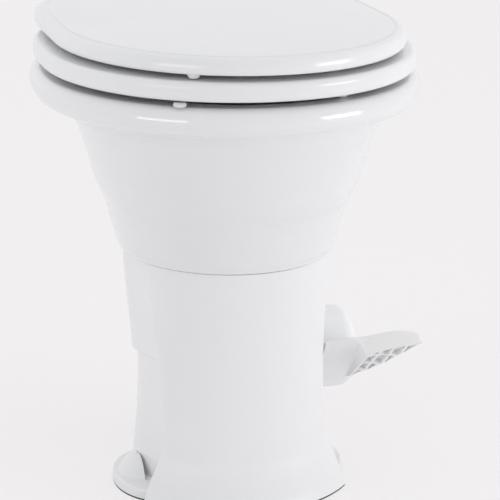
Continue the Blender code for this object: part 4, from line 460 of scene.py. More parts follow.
def carved(piece, shape, operation="DIFFERENCE"):
    """The piece with a shape cut from it or joined to it, the shape then thrown away."""
    modifier = piece.modifiers.new("carve", "BOOLEAN")
    modifier.operation, modifier.solver, modifier.object = operation, "EXACT", shape
    with bpy.context.temp_override(object=piece, active_object=piece):
        bpy.ops.object.modifier_apply(modifier=modifier.name)
    bpy.data.objects.remove(shape)
    piece.data.set_sharp_from_angle(angle=SHARP_ANGLE)
    return piece


def cushion_box(low, high, rounding):
    """A box with round upright edges: its plan is a rectangle shrunk by the rounding, with a quarter circle added at
    each corner, carried straight from low to high."""
    low, high = np.array(low, float), np.array(high, float)
    turn = np.linspace(0, math.pi / 2, 8) + np.arange(4)[:, None] * math.pi / 2
    signs = np.array(((1, 1), (-1, 1), (-1, -1), (1, -1)))[:, None]
    arcs = np.stack((np.cos(turn), np.sin(turn)), -1) * rounding
    plan = ((low + high)[:2] / 2 + signs * ((high - low)[:2] / 2 - rounding) + arcs).reshape(-1, 2)
    return capped(np.stack([np.column_stack((plan, np.full(len(plan), z))) for z in (low[2], high[2])]))


white_moulding = grained("white_moulding", MOULDING_COLOUR, 0.34)
outside, inside = outer_rows(), inner_rows()
shell = both_sides(np.concatenate((outside, inside[::-1])))
pedestal = skin("pedestal_shell", shell, white_moulding, "base", wrap_rows=True)
window = cushion_box(WINDOW_LOW, WINDOW_HIGH, WINDOW_ROUND)
carved(pedestal, skin("window", window))
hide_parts("pedestal")
boss_root = FLANK_SIDE - SHELL_WALL
boss_edge = [(BOSS_RADIUS - inset, FLANK_HALF_WIDTH - behind) for inset, behind in BOSS_EDGE]
boss_profile = ((BOSS_BORE, boss_root), (BOSS_RADIUS, boss_root), *boss_edge, (BOSS_BORE, FLANK_HALF_WIDTH))
boss = skin("pivot_boss", turned(boss_profile, (0, SHAFT_Y, SHAFT_HEIGHT), 64), white_moulding, "base",
            wrap_rows=True)
boss.data.set_sharp_from_angle(angle=SHARP_ANGLE)

# The feet: on each flank a half dome stands on a flange that runs out of the skirt, both in one with the pedestal.
# The dome is cut open in front and the flank has a shallow pocket there, where the floor bolt's nut is reached.
SIDES = (("left", -1), ("right", 1))
FLANGE_ROOT = 0.075
FLANGE_REACH = 0.0440
FLANGE_PLACE = -0.010
FLANGE_HALF_LENGTH = 0.0590
FLANGE_HEIGHT = 0.0120
FLANGE_ROUND = 0.0030
FLANGE_SOLE = 0.007
# Inset from the flange's side and rise above its height, over its top
FLANGE_TOP = ((0.012, 0.0006), (0.025, 0.0015), (0.040, 0.0020))
FLANGE_CORE = 0.001
DOME_ROOT = 0.0765
DOME_REACH = 0.0405
DOME_PLACE = -0.008
DOME_HALF_LENGTH = 0.0360
DOME_HEIGHT = 0.0365
DOME_CUT_SIDE = 0.0938
DOME_CUT_PLACE = (-0.2, -0.0095)
DOME_CUT_HEIGHT = (-0.01, 0.06)
DOME_CUT_ROUND = 0.001
POCKET_FRONT = (0.0745, -0.0700)
POCKET_REAR = (0.0962, -0.0108)
POCKET_DEPTH = 0.0016
POCKET_CLEAR = 0.006
POCKET_SOLE = 0.0085
POCKET_ROOF = 0.0352
HALF_COUNT = 61


def half_discs(sign, rows):
    """A half ring with an elliptic plan for each inset from the flange's side and height in rows, never smaller than
    the core: angle u goes round from front to rear."""
    u = np.linspace(-math.pi / 2, math.pi / 2, HALF_COUNT)
    rings = []
    for inset, height in rows:
        reach, length = (max(size - inset, FLANGE_CORE) for size in (FLANGE_REACH, FLANGE_HALF_LENGTH))
        rings.append(np.stack((FLANGE_ROOT + reach * np.cos(u), FLANGE_PLACE + length * np.sin(u),
                               np.full(HALF_COUNT, height)), -1))
    return np.stack(rings) * (sign, 1, 1)


def flange(sign):
    """Half rings that climb the upright side from the recessed sole, turn over a quarter circle on to the top, and
    rise a little to the middle."""
    turn = np.linspace(0, math.pi / 2, 9)
    edge = zip(FLANGE_ROUND * (1 - np.cos(turn)), FLANGE_HEIGHT - FLANGE_ROUND * (1 - np.sin(turn)))
    top = [(inset, FLANGE_HEIGHT + rise) for inset, rise in FLANGE_TOP]
    return half_discs(sign, ((FLANGE_HALF_LENGTH, 0), (FLANGE_SOLE, 0), (FLANGE_SOLE, FLOOR_GAP), (0, FLOOR_GAP),
                             (0, FLANGE_HEIGHT / 2), *edge, *top, (FLANGE_HALF_LENGTH, top[-1][1])))


def dome(sign):
    """A quarter of an ellipsoid: angle u runs from front to rear and v from the foot to the crown."""
    u = np.linspace(-math.pi / 2, math.pi / 2, HALF_COUNT)[None, :]
    v = np.linspace(0, math.pi / 2, 31)[:, None]
    ones = np.ones_like(u * v)
    shell = np.stack((DOME_REACH * np.cos(u) * np.cos(v), DOME_HALF_LENGTH * np.sin(u) * np.cos(v),
                      FIT_GAP + (DOME_HEIGHT - FIT_GAP) * np.sin(v) * ones), -1)
    foot = np.zeros((1, HALF_COUNT, 3)) + (0, 0, FIT_GAP)
    return (np.concatenate((foot, shell)) + (DOME_ROOT, DOME_PLACE, 0)) * (sign, 1, 1)


def pocket_prism(sign):
    """The upright space of a pocket: a rectangle in plan along the flank's line, from clear of it to its depth."""
    front, rear = np.array(POCKET_FRONT), np.array(POCKET_REAR)
    along = (rear - front) / np.linalg.norm(rear - front)
    across = np.array((along[1], -along[0]))
    outer, inner = across * POCKET_CLEAR, across * -POCKET_DEPTH
    plan = np.array((front + outer, rear + outer, rear + inner, front + inner))
    rows = [np.column_stack((plan, np.full(4, height))) for height in (POCKET_SOLE, POCKET_ROOF)]
    return capped(np.stack(rows)) * (sign, 1, 1)


for side, sign in SIDES:
    foot = skin("foot_lobe_" + side, flange(sign), white_moulding, "base")
    hood = skin("dome", dome(sign))
    near, far = sorted((sign * DOME_ROOT / 2, sign * DOME_CUT_SIDE))
    low, high = zip((near, far), DOME_CUT_PLACE, DOME_CUT_HEIGHT)
    opening = cushion_box(low, high, DOME_CUT_ROUND)
    carved(hood, skin("opening", opening))
    carved(foot, hood, "UNION")
    carved(pedestal, skin("pocket", pocket_prism(sign)))

# The bowl: slip-cast vitreous china with a clear glaze. The rim is rolled over and stands out all round, the wall
# steps in softly below it, a ledge carries the bowl on the pedestal, and the neck goes down to the flush valve.
RIM_HALF_WIDTH = 0.1873
RIM_FRONT = 0.197
DECK_REAR = 0.2405
RIM_TOP = 0.4215
RIM_HEIGHT = 0.0269
RIM_ROLL = 0.0109
RIM_REAR = 0.2294
RIM_UNDERCUT = 0.006
FRONT_POWER = 2.03
RIM_REAR_POWER = 2.27
DECK_HALF_WIDTH = 0.125
DECK_POWER = 6.0
# Power of the joint between rim and deck, and the share by which it may stand out past them
JOINT_POWER = 24
JOINT_SWELL = 0.01
WALL_REAR_POWER = 2.2
WALL_TOP = (0.1535, 0.1735, 0.163)
WALL_TOP_DROP = 0.0040
SEAM = (SEAM_HALF_WIDTH, SEAM_FRONT, SEAM_REAR)
SEAM_TURN = SEAM_ROUND * 0.3
OPENING = (0.142, 0.163, 0.150)
BOWL_WALL = 0.0095
LIP_ROUND = 0.012
LEDGE_DEPTH = 0.0145
NECK_RADIUS = 0.052
NECK_BORE = 0.0445
NECK_BOTTOM = 0.196
NECK_FLANGE = 0.006
NECK_FLANGE_HEIGHT = 0.0045
CERAMIC_COLOUR = (0.792, 0.797, 0.810)
# Height and half width of the wall, from its top down to the ledge, and the share by which it is longer in front
# and at the rear
WALL_ROWS = ((0.3800, 0.1508, 1.130, 1.060), (0.3650, 0.1444, 1.124, 1.058), (0.3450, 0.1379, 1.112, 1.052),
             (0.3280, 0.1331, 1.102, 1.046), (0.3150, 0.1296, 1.096, 1.042), (0.3050, 0.1257, 1.090, 1.040),
             (0.2950, 0.1209, 1.086, 1.036), (0.2850, 0.1178, 1.080, 1.032), (0.2720, 0.1147, 1.074, 1.028),
             (0.2620, 0.1119, 1.070, 1.025), (0.2520, 0.1094, 1.066, 1.022))
# Share of the way from the neck up to the lip, and of the growth in half width and at the rear
INSIDE_SHARES = ((0.84, 0.965, 0.98), (0.64, 0.850, 0.87), (0.43, 0.690, 0.72), (0.27, 0.510, 0.54),
                 (0.15, 0.310, 0.33), (0.06, 0.070, 0.07))
BELLY_SHARES = ((0.75, 0.900), (0.37, 0.480), (0.13, 0.100))
ROUND_COUNT = 200


def egg(sizes, height, front_power=FRONT_POWER, rear_power=WALL_REAR_POWER, count=ROUND_COUNT):
    """A ring round the bowl at one height: in each direction, the distance at which the powers of its shares of
    the half width and of the length in front, or at the rear, add up to one."""
    way = 2 * math.pi * np.arange(count) / count
    cos, sin = np.cos(way), np.sin(way)
    power = np.where(sin > 0, rear_power, front_power)
    reach = (np.abs(cos) ** power + np.abs(sin) ** power) ** (-1 / power)
    length = np.where(sin > 0, sizes[2], sizes[1])
    return np.stack((sizes[0] * reach * cos, length * reach * sin, np.full(count, height)), -1)


def grown(sizes, by):
    """Sizes with the same length added to each."""
    return [size + by for size in sizes]


def between(low, high, shares):
    """Sizes between two sets of sizes, by a share for each, or one share for all."""
    shares = np.broadcast_to(shares, (len(low),))
    return [a + (b - a) * share for a, b, share in zip(low, high, shares)]


def rim_ring(inset, height):
    """A ring of the rim: an egg joined by a squarer one that makes the deck for the hinges, where the joint is
    the sum of a high power of both reaches, so that it is filleted."""
    oval = egg(grown((RIM_HALF_WIDTH, RIM_FRONT, RIM_REAR), inset), height, rear_power=RIM_REAR_POWER)
    deck = egg(grown((DECK_HALF_WIDTH, DECK_HALF_WIDTH / 2, DECK_REAR), inset), height, rear_power=DECK_POWER)
    reach = [np.linalg.norm(ring[:, :2], axis=1) for ring in (oval, deck)]
    reach[1] = np.where(deck[:, 1] > 0, reach[1], 0)
    joined = (reach[0] ** JOINT_POWER + reach[1] ** JOINT_POWER) ** (1 / JOINT_POWER)
    scale = np.minimum(joined / reach[0], np.maximum(*reach) / reach[0] + JOINT_SWELL)
    return oval * np.column_stack((scale, scale, np.ones_like(scale)))


def glazed(name, colour):
    """Vitreous china: a warm-white body under clear glaze, with a slow change of tone, rare pin specks and the
    glaze's faint waves, and a coat that pools a little smoother than the body."""
    finish = Finish(name, colour, 0.13, IOR=1.52, Coat_Roughness=0.03)
    cloud = finish.noise(5.0, 3.0, 0.5).band(0.3, 0.7)
    specks = finish.node("ShaderNodeTexVoronoi", {"feature": "F1"}, Vector=finish.place(), Scale=130.0)
    rare = 1 - specks.band(0.02, 0.075)
    tone = finish.tint(cloud, shade(colour, 0.985), colour)
    finish.feed("Base Color", finish.tint(rare * 0.10, tone, shade(colour, 0.72)))
    finish.feed("Roughness", 0.10 + finish.noise(30.0, 3.0, 0.6) * 0.08)
    finish.feed("Coat Weight", 0.55 + cloud * 0.25)
    finish.bump(finish.noise(22.0, 1.5, 0.4) * 0.8 + finish.noise(160.0, 2.0, 0.5) * 0.2, 0.00012)
    return finish.material


def bowl_rows():
    """Rings over the rolled rim, down the wall to the seam, in under the ledge, round the neck and up inside."""
    wall_top = RIM_TOP - RIM_HEIGHT - WALL_TOP_DROP
    neck_top = NECK_BOTTOM + BOWL_WALL
    lip = RIM_TOP - LIP_ROUND
    roll_angles = np.radians(np.linspace(90, -90, 31))
    roll_rows = [rim_ring(-RIM_ROLL * (1 - math.cos(a)), RIM_TOP - RIM_HEIGHT / 2 * (1 - math.sin(a)))
                 for a in roll_angles]
    wall = [rim_ring(-RIM_ROLL - RIM_UNDERCUT, RIM_TOP - RIM_HEIGHT), egg(WALL_TOP, wall_top)]
    for height, width, front, rear in WALL_ROWS:
        wall.append(egg((width, width * front, width * rear), height))
    seam = [wall[-1], egg(SEAM, SEAM_HEIGHT + SEAM_ROUND), egg(grown(SEAM, -SEAM_TURN), SEAM_HEIGHT + SEAM_TURN),
            egg(grown(SEAM, -SEAM_ROUND), SEAM_HEIGHT)]
    ledge = grown(SEAM, -LEDGE_DEPTH)
    neck = (NECK_RADIUS,) * 3
    belly = [egg(ledge, SEAM_HEIGHT)]
    belly += [egg(between(neck, ledge, width), neck_top + (SEAM_HEIGHT - neck_top) * height)
              for height, width in BELLY_SHARES]
    belly.append(egg(neck, neck_top, 2.0, 2.0))
    flange = NECK_RADIUS + NECK_FLANGE
    collar = [egg((radius,) * 3, height, 2.0, 2.0) for radius, height in (
        (NECK_RADIUS, NECK_BOTTOM + NECK_FLANGE_HEIGHT), (flange, NECK_BOTTOM + NECK_FLANGE_HEIGHT),
        (flange, NECK_BOTTOM), (NECK_BORE, NECK_BOTTOM))]
    bore = (NECK_BORE,) * 3
    inner = [egg(bore, neck_top, 2.0, 2.0)]
    inner += [egg(between(bore, OPENING, (width, width, rear)), neck_top + (lip - neck_top) * height)
              for height, width, rear in reversed(INSIDE_SHARES)]
    inner.append(egg(OPENING, lip))
    lip_rows = [egg(grown(OPENING, LIP_ROUND * (1 - math.cos(a))), lip + LIP_ROUND * math.sin(a))
                for a in np.radians(np.linspace(0, 90, 12))]
    return np.concatenate((roll_rows[:-1], through(wall, 8), through(seam, 3)[1:], through(belly, 4), collar,
                           through(inner, 7), lip_rows[1:]))


china = glazed("glazed_china", CERAMIC_COLOUR)
bowl = skin("china_bowl", bowl_rows(), china, "base", wrap_rows=True)
bowl.data.set_sharp_from_angle(angle=SHARP_ANGLE)
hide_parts("bowl")

# The flush valve's housing, under the bowl: a moulded body in glass-filled nylon with the discharge horn at its
# foot. The bowl's neck stands in a soft seal on it, and a steel band with two screws clamps the two together.
VALVE_COLOUR = (0.60, 0.61, 0.62)
SEAL_COLOUR = (0.035, 0.035, 0.038)
STEEL_COLOUR = (0.62, 0.62, 0.63)


def fair(node, finish, edge=0.0004):
    """A CAD node made finer: a copy of its mesh with coincident points merged and the triangles of one flat face
    joined, smooth where faces meet at less than the sharp angle, and every other edge rounded."""
    mesh = frame["nodes"][node].data.copy()
    mesh.name = node + "_fair"
    work = bmesh.new()
    work.from_mesh(mesh)
    bmesh.ops.remove_doubles(work, verts=work.verts, dist=MERGE_REACH)
    bmesh.ops.dissolve_limit(work, angle_limit=math.radians(0.5), verts=work.verts, edges=work.edges)
    work.to_mesh(mesh)
    work.free()
    piece = placed(node + "_fair", mesh, finish, frame["nodes"][node]["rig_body"])
    piece.data.set_sharp_from_angle(angle=SHARP_ANGLE)
    if edge:
        rounding = piece.modifiers.new("edge", "BEVEL")
        rounding.width, rounding.segments = edge, 2
        rounding.limit_method, rounding.angle_limit = "ANGLE", SHARP_ANGLE
    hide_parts(node)
    return piece


def rubber(name, colour):
    """Moulded rubber: near black with a pale bloom in patches, a dull sheen, and a fine pebbled skin."""
    finish = Finish(name, colour, 0.6, IOR=1.5)
    bloom = finish.noise(28.0, 4.0, 0.6).band(0.45, 0.75)
    finish.feed("Base Color", finish.tint(bloom * 0.25, colour, (0.16, 0.16, 0.17)))
    finish.feed("Roughness", 0.52 + bloom * 0.2)
    finish.bump(finish.noise(900.0, 2.0, 0.5), 0.00006)
    return finish.material


def drawn_metal(name, colour, stretch, roughness):
    """Drawn or rolled metal: fine lines along the way it was worked, a slow change in its tone, and a few stains."""
    finish = Finish(name, colour, roughness, 1.0)
    lines = finish.noise(700.0, 3.0, 0.6, stretch)
    stain = finish.noise(45.0, 4.0, 0.6).band(0.55, 0.8)
    finish.feed("Base Color", finish.tint(stain * 0.4 + lines * 0.15, colour, shade(colour, 0.72)))
    finish.feed("Roughness", roughness + lines * 0.12 + stain * 0.12)
    finish.bump(lines, 0.00003)
    return finish.material


housing_finish = grained("valve_nylon", VALVE_COLOUR, 0.42, 0.00008)
seal_rubber = rubber("seal_rubber", SEAL_COLOUR)
steel_turned = drawn_metal("steel_turned", STEEL_COLOUR, (0.06, 1, 1), 0.24)
steel_rolled = drawn_metal("steel_rolled", STEEL_COLOUR, (1, 1, 0.05), 0.26)
fair("valve_body", housing_finish, 0.0006)
for node in ("floor_seal", "bowl_seal", "ball_seal"):
    fair(node, seal_rubber, 0.0003)
fair("clamp_band", steel_rolled, 0.0002)
for node in sorted(name for name in frame["nodes"] if name.startswith("clamp_screw")):
    fair(node, steel_rolled, 0.0003)

# The floor shadow lines: strips of black rubber let in under the skirt, the flanks and the feet, in the gap between
# the pedestal and the floor. They are painted shadow: their dark edge stands in for the contact shadow along the
# floor.
SHADE_LINE_FIT = 0.0001
SHADE_LINE_EDGE = 0.0004
SKIRT_SHADE_LINE_INSET = 0.0032
FOOT_SHADE_LINE_INSET = 0.0066


def strip(inset):
    """Inset and height of the four corners of a shadow strip's section: up its inner side, over, and down its edge.
    """
    return (inset, 0), (inset, FLOOR_GAP - SHADE_LINE_FIT), (SHADE_LINE_EDGE, FLOOR_GAP - SHADE_LINE_FIT), (SHADE_LINE_EDGE, 0)


# The black strip under the skirt, and below it those under the feet: painted contact shadow.
skirt_strip = [pedestal_ring(height, *LOWER_ROWS[-1][1:], inset) for inset, height in strip(SKIRT_SHADE_LINE_INSET)]
skirt_shade_line = skin("floor_shadow_line", both_sides(np.stack(skirt_strip)), seal_rubber, "base", wrap_rows=True)
carved(skirt_shade_line, skin("window", window))
for side, sign in SIDES:
    skin("foot_gasket_" + side, half_discs(sign, strip(FOOT_SHADE_LINE_INSET)), seal_rubber, "base",
         wrap_rows=True, wrap_columns=False)

# The half ball: a moulded acetal cup that seals the neck from below, turning on two steel stubs in plain bushings.
# A pinion on one stub is driven by the toothed sector on the pedal's shaft, which a torsion spring turns back.
BALL_COLOUR = (0.50, 0.52, 0.54)
ACETAL_COLOUR = (0.74, 0.735, 0.71)


def acetal(name, colour):
    """Turned or moulded acetal: waxy and slightly mottled, with fine rings from the mould's polish and worn
    patches that shine."""
    finish = Finish(name, colour, 0.3, IOR=1.48)
    mottle = finish.noise(60.0, 3.0, 0.6).band(0.35, 0.7)
    polish = finish.noise(500.0, 2.0, 0.5, (0.1, 1, 1)).band(0.55, 0.8)
    finish.feed("Base Color", finish.tint(mottle * 0.5, colour, shade(colour, 0.93)))
    finish.feed("Roughness", 0.28 + mottle * 0.10 + polish * 0.06)
    finish.bump(polish, 0.00003)
    return finish.material


ball_acetal = acetal("ball_acetal", BALL_COLOUR)
gear_acetal = acetal("gear_acetal", ACETAL_COLOUR)
fair("flush_ball", ball_acetal, 0.0004)
for node in ("ball_shaft_left", "ball_shaft_right", "pedal_shaft"):
    fair(node, steel_turned, 0.0003)
for node in ("ball_bushing_left", "ball_bushing_right", "shaft_bearing", "pedal_bushing"):
    fair(node, gear_acetal, 0.0003)
for node in ("ball_pinion", "sector_gear", "valve_cam"):
    fair(node, gear_acetal, 0.0002)
fair("return_spring", steel_turned, 0)

# The rinse line: a brass valve worked by a cam on the pedal's shaft, a hose up behind the pedestal to the vacuum
# breaker, and the spud that goes through the bowl's wall under the rim. Worm-drive clips hold the hose's ends.
BRASS_COLOUR = (0.68, 0.52, 0.28)
HOSE_COLOUR = (0.045, 0.045, 0.05)
brass = drawn_metal("turned_brass", BRASS_COLOUR, (1, 0.08, 1), 0.28)
hose_rubber = rubber("hose_rubber", HOSE_COLOUR)
for node in ("water_valve_body", "inlet_nipple"):
    fair(node, brass, 0.0003)
fair("valve_plunger", steel_turned, 0.0002)
fair("supply_hose", hose_rubber, 0)
for node in ("hose_clamp_lower", "hose_clamp_upper"):
    fair(node, steel_rolled, 0.0002)
for node in ("vacuum_breaker", "bowl_spud"):
    fair(node, housing_finish, 0.0004)

# The foot pedal: one moulding in the pedestal's plastic, a round hub barrel on the shaft and a swept pad at its
# front, hollow and ribbed underneath. It presses on to the shaft's end and a round cap closes it.
PEDAL_INNER = 0.0941
PEDAL_OUTER = 0.142
# The pedestal's plastic made lighter for the pedal: painted light that makes up for the dim light on the pedal.
PEDAL_LIGHTENED_COLOUR = (0.885, 0.89, 0.895)
HUB_RADIUS = 0.0427
HUB_WALL = 0.0035
HUB_ROUND = 0.015
HUB_BOSS_RADIUS = 0.010
HUB_END_WALL = 0.0055
SHAFT_BORE = 0.0055
CAP_RADIUS = 0.0125
CAP_DEPTH = 0.0025
CAP_CROWN = 0.0012
# Share of the cap's radius and of its crown, from the middle of its face over its edge
CAP_SHARES = ((0, 1), (0.5, 0.75), (0.9, 0.2), (1, -0.3))
PAD_REACH = 0.0930
PAD_EDGE = 0.0022
PAD_RIB = 0.0028
PAD_HOLLOW_DEPTH = 0.0050
# Stations along a hollow, and the fewest of them that are wide enough for one to be made
CELL_COUNT = 12
CELL_LEAST = 4
# Shares of the reach between which the hollows lie, and how far in front of the shaft the ribs across them are,
# in shares of the hub's radius
CELL_SHARES = (0.480, 0.610, 0.735, 0.860, 0.965)
RIB_SHARES = (2.75, 1.89, 1.42, 1.02, 0.62)
# Share of the reach beyond the flank, then the place from the shaft's axis, in shares of the hub's radius, of the
# front edge's underside and top and of the rear edge's underside and top
PAD_SHARES = (
    (0.063, (-1.556, 0.611), (-1.533, 0.677), (-0.830, -0.600), (0.001, -0.323)),
    (0.257, (-1.743, 0.702), (-1.708, 0.791), (-0.830, -0.600), (0.001, -0.324)),
    (0.400, (-1.885, 0.669), (-1.842, 0.831), (-0.760, -0.640), (-0.118, -0.402)),
    (0.470, (-1.954, 0.338), (-1.908, 0.860), (-0.640, -0.660), (-0.176, -0.453)),
    (0.550, (-2.049, 0.465), (-2.000, 0.919), (-0.720, -0.540), (-0.472, -0.317)),
    (0.650, (-2.170, 0.569), (-2.118, 0.995), (-1.091, -0.310), (-0.893, -0.087)),
    (0.750, (-2.291, 0.653), (-2.237, 1.052), (-1.490, -0.039), (-1.314, 0.184)),
    (0.850, (-2.413, 0.721), (-2.356, 1.074), (-1.889, 0.269), (-1.735, 0.492)),
    (0.930, (-2.509, 0.757), (-2.450, 1.052), (-2.202, 0.535), (-2.067, 0.752)),
    (0.975, (-2.560, 0.777), (-2.500, 0.969), (-2.359, 0.653), (-2.243, 0.850)),
    (1.000, (-2.575, 0.790), (-2.528, 0.880), (-2.446, 0.730), (-2.370, 0.860)),
)


def rounded(points, reach):
    """A closed polygon's points with each corner turned on a parabola that starts and ends a reach from it."""
    turns = [round_corner(toward(corner, before, reach), corner, toward(corner, after, reach), 5)
             for before, corner, after in zip(np.roll(points, 1, 0), points, np.roll(points, -1, 0))]
    return np.vstack(turns)


def pad_corners(share):
    """Front under, front over, rear over and rear under of the pad's section at a share of its reach."""
    shares = np.array([row[0] for row in PAD_SHARES])
    places = np.array([row[1:] for row in PAD_SHARES])
    flat = np.array([np.interp(share, shares, places[:, c, k]) for c in (0, 1, 3, 2) for k in (0, 1)])
    return flat.reshape(4, 2) * HUB_RADIUS + (SHAFT_Y, SHAFT_HEIGHT)


def pad_section(share):
    """One closed section of the pad across the pedal's reach, its four edges rounded."""
    ring = rounded(pad_corners(share), PAD_EDGE)
    return np.column_stack((np.full(len(ring), FLANK_HALF_WIDTH + PAD_REACH * share), ring))


def pad_cell(low, high, near, far):
    """The space of one hollow: its ring runs along near from share low to high of the reach, and back along far,
    neither of them nearer than a rib to the pad's own edges; its rows lie outside and inside the underside."""
    shares = np.linspace(low, high, CELL_COUNT)
    corners = np.array([pad_corners(share) for share in shares])
    front, rear = corners[:, 0], corners[:, 3]
    near = np.maximum(SHAFT_Y - near * HUB_RADIUS + PAD_RIB / 2, front[:, 0] + PAD_RIB)
    far = np.minimum(SHAFT_Y - far * HUB_RADIUS - PAD_RIB / 2, rear[:, 0] - PAD_RIB)
    wide = far - near > PAD_RIB / 2
    if wide.sum() < CELL_LEAST:
        return None
    shares, front, rear, near, far = shares[wide], front[wide], rear[wide], near[wide], far[wide]
    shares = np.interp(np.arange(len(shares)), (0, len(shares) - 1),
                       (shares[0] + PAD_RIB / PAD_REACH / 2, shares[-1] - PAD_RIB / PAD_REACH / 2))
    along = (rear - front) / np.linalg.norm(rear - front, axis=1)[:, None]
    inward = np.stack((-along[:, 1], along[:, 0]), -1)
    rows = []
    for depth in (-PAD_RIB, PAD_HOLLOW_DEPTH):
        sides = []
        for place in (near, far):
            way = (place - front[:, 0]) / along[:, 0]
            spot = front + along * way[:, None] + inward * depth
            sides.append(np.column_stack((FLANK_HALF_WIDTH + PAD_REACH * shares, spot)))
        rows.append(np.vstack((sides[0], sides[1][::-1])))
    return capped(np.stack(rows))


hub_flat = HUB_RADIUS - HUB_ROUND
hub_wall = PEDAL_OUTER - HUB_END_WALL
nose = np.radians(np.linspace(0, 90, 14))
hub_profile = np.vstack((
    ((SHAFT_BORE, PEDAL_OUTER - CAP_DEPTH), (SHAFT_BORE, PEDAL_INNER), (HUB_BOSS_RADIUS, PEDAL_INNER),
     (HUB_BOSS_RADIUS, hub_wall), (hub_flat - HUB_WALL, hub_wall),
     (HUB_RADIUS - HUB_WALL, PEDAL_OUTER - HUB_ROUND - HUB_WALL), (HUB_RADIUS - HUB_WALL, PEDAL_INNER),
     (HUB_RADIUS, PEDAL_INNER)),
    np.column_stack((hub_flat + HUB_ROUND * np.cos(nose), PEDAL_OUTER - HUB_ROUND + HUB_ROUND * np.sin(nose))),
    ((CAP_RADIUS + FIT_GAP, PEDAL_OUTER), (CAP_RADIUS + FIT_GAP, PEDAL_OUTER - CAP_DEPTH))))
shaft_axis = (0, SHAFT_Y, SHAFT_HEIGHT)
# The pedal's and its cap's material, a lighter copy of the pedestal's: painted light.
pedal_lightened_moulding = grained("pedal_lightened_moulding", PEDAL_LIGHTENED_COLOUR, 0.30)
hub = skin("pedal_hub", turned(hub_profile, shaft_axis, 96), pedal_lightened_moulding, "pedal",
           wrap_rows=True)
hub.data.set_sharp_from_angle(angle=SHARP_ANGLE)
pad_rows = [pad_section(share) for share in np.linspace(PAD_SHARES[0][0], 1, 60)]
pad = skin("pedal_pad", capped(np.stack(pad_rows)), pedal_lightened_moulding, "pedal")
for low, high in zip(CELL_SHARES, CELL_SHARES[1:]):
    for near, far in zip(RIB_SHARES, RIB_SHARES[1:]):
        cell = pad_cell(low, high, near, far)
        if cell is not None:
            carved(pad, skin("hollow", cell))
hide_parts("foot_pedal")
cap_face = [(CAP_RADIUS * out, PEDAL_OUTER + CAP_CROWN * rise) for out, rise in CAP_SHARES]
cap_back = PEDAL_OUTER - CAP_DEPTH + FIT_GAP
cap_profile = (*cap_face, (CAP_RADIUS, cap_back), (0, cap_back))
cap = skin("pedal_cap_dome", turned(cap_profile, shaft_axis, 48), pedal_lightened_moulding, "pedal",
           wrap_rows=True)
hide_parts("pedal_cap")

# The seat ring: compression-moulded plastic with rounded edges and a slight crown, on buffers above the rim, with
# two arms at the back that turn on the hinge pins.
SEAT_GAP = 0.006
SEAT_THICKNESS = 0.0185
SEAT_SIZES = (0.1812, 0.1968, 0.191)
SEAT_EDGE = 0.006
SEAT_REAR_POWER = 2.8
ARM_START = 0.170
SEAT_OPENING = (0.108, 0.140, 0.112)
SEAT_CROWN = 0.0015
SEAT_CROWN_POWER = 3.0
HINGE_Y = 0.225
HINGE_RISE = 0.0228
HINGE_SPREAD = 0.0775
HINGE_EYE_RADIUS = 0.009
# Degrees between which the eye is round, and the inset and place across the arm of the rows of its soft edge
EYE_TURN = (-78, 168)
ARM_EDGE = ((0.0010, 0), (0.0003, 0.0004), (0, 0.0012))
PIN_BORE = 0.0043
POST_WIDTH = 0.016
LUG_WIDTH = 0.010
SEAT_LUG_HEIGHT = 0.012
LID_LUG_HEIGHT = 0.008
SEAT_COLOUR = (0.812, 0.818, 0.83)


def polished(name, colour):
    """Dense gloss plastic: an even colour with a faint cloud, fine wiping scratches across it, and a soft wave."""
    finish = Finish(name, colour, 0.16, IOR=1.5)
    cloud = finish.noise(6.0, 3.0, 0.5).band(0.3, 0.7)
    finish.feed("Base Color", finish.tint(cloud, shade(colour, 0.982), colour))
    wiped = finish.noise(210.0, 3.0, 0.7, (0.10, 1, 1)).band(0.60, 0.80)
    crossed = finish.noise(240.0, 3.0, 0.7, (1, 0.12, 1)).band(0.62, 0.80)
    finish.feed("Roughness", 0.12 + finish.noise(40.0, 3.0, 0.6) * 0.06 + wiped * 0.05 + crossed * 0.04)
    finish.bump(finish.noise(16.0, 1.5, 0.4), 0.0001)
    return finish.material


def edge_turn(low, high, round_radius):
    """Insets and heights round a slab's edge: up its underside's corner, its side, and over."""
    under = np.radians(np.linspace(-90, 0, 9))
    over = np.radians(np.linspace(0, 90, 9))
    insets = round_radius * (1 - np.cos(np.concatenate((under, over))))
    heights = np.concatenate((low + round_radius * (1 + np.sin(under)), high - round_radius * (1 - np.sin(over))))
    return list(zip(insets, heights))


def hinge_arm(name, sign, start, low, height, finish, body):
    """An arm with a round eye: its side outline, rounded where the arm leaves the slab, carried across its width
    with softened edges, and bored for the pin."""
    eye_z = RIM_TOP + HINGE_RISE
    tip = np.radians(np.linspace(*EYE_TURN, 26))
    eye = np.stack((HINGE_Y + HINGE_EYE_RADIUS * np.cos(tip), eye_z + HINGE_EYE_RADIUS * np.sin(tip)), -1)
    arm = np.array(((ARM_START, low + height), (ARM_START, low)))
    outline = np.vstack((eye, arm))
    middle = outline.mean(0)
    rows = []
    for inset, place in (*ARM_EDGE, *((inset, LUG_WIDTH - place) for inset, place in ARM_EDGE[::-1])):
        pulled = outline + (middle - outline) * inset / np.linalg.norm(middle - outline, axis=1)[:, None]
        rows.append(np.column_stack((np.full(len(pulled), sign * (start + place)), pulled)))
    made = skin(name, capped(np.stack(rows)), finish, body)
    bore = turned(((0, start - LUG_WIDTH), (PIN_BORE, start - LUG_WIDTH), (PIN_BORE, start + 2 * LUG_WIDTH),
                   (0, start + 2 * LUG_WIDTH)), (0, HINGE_Y, eye_z), 40) * (sign, 1, 1)
    return carved(made, skin("bore", bore))


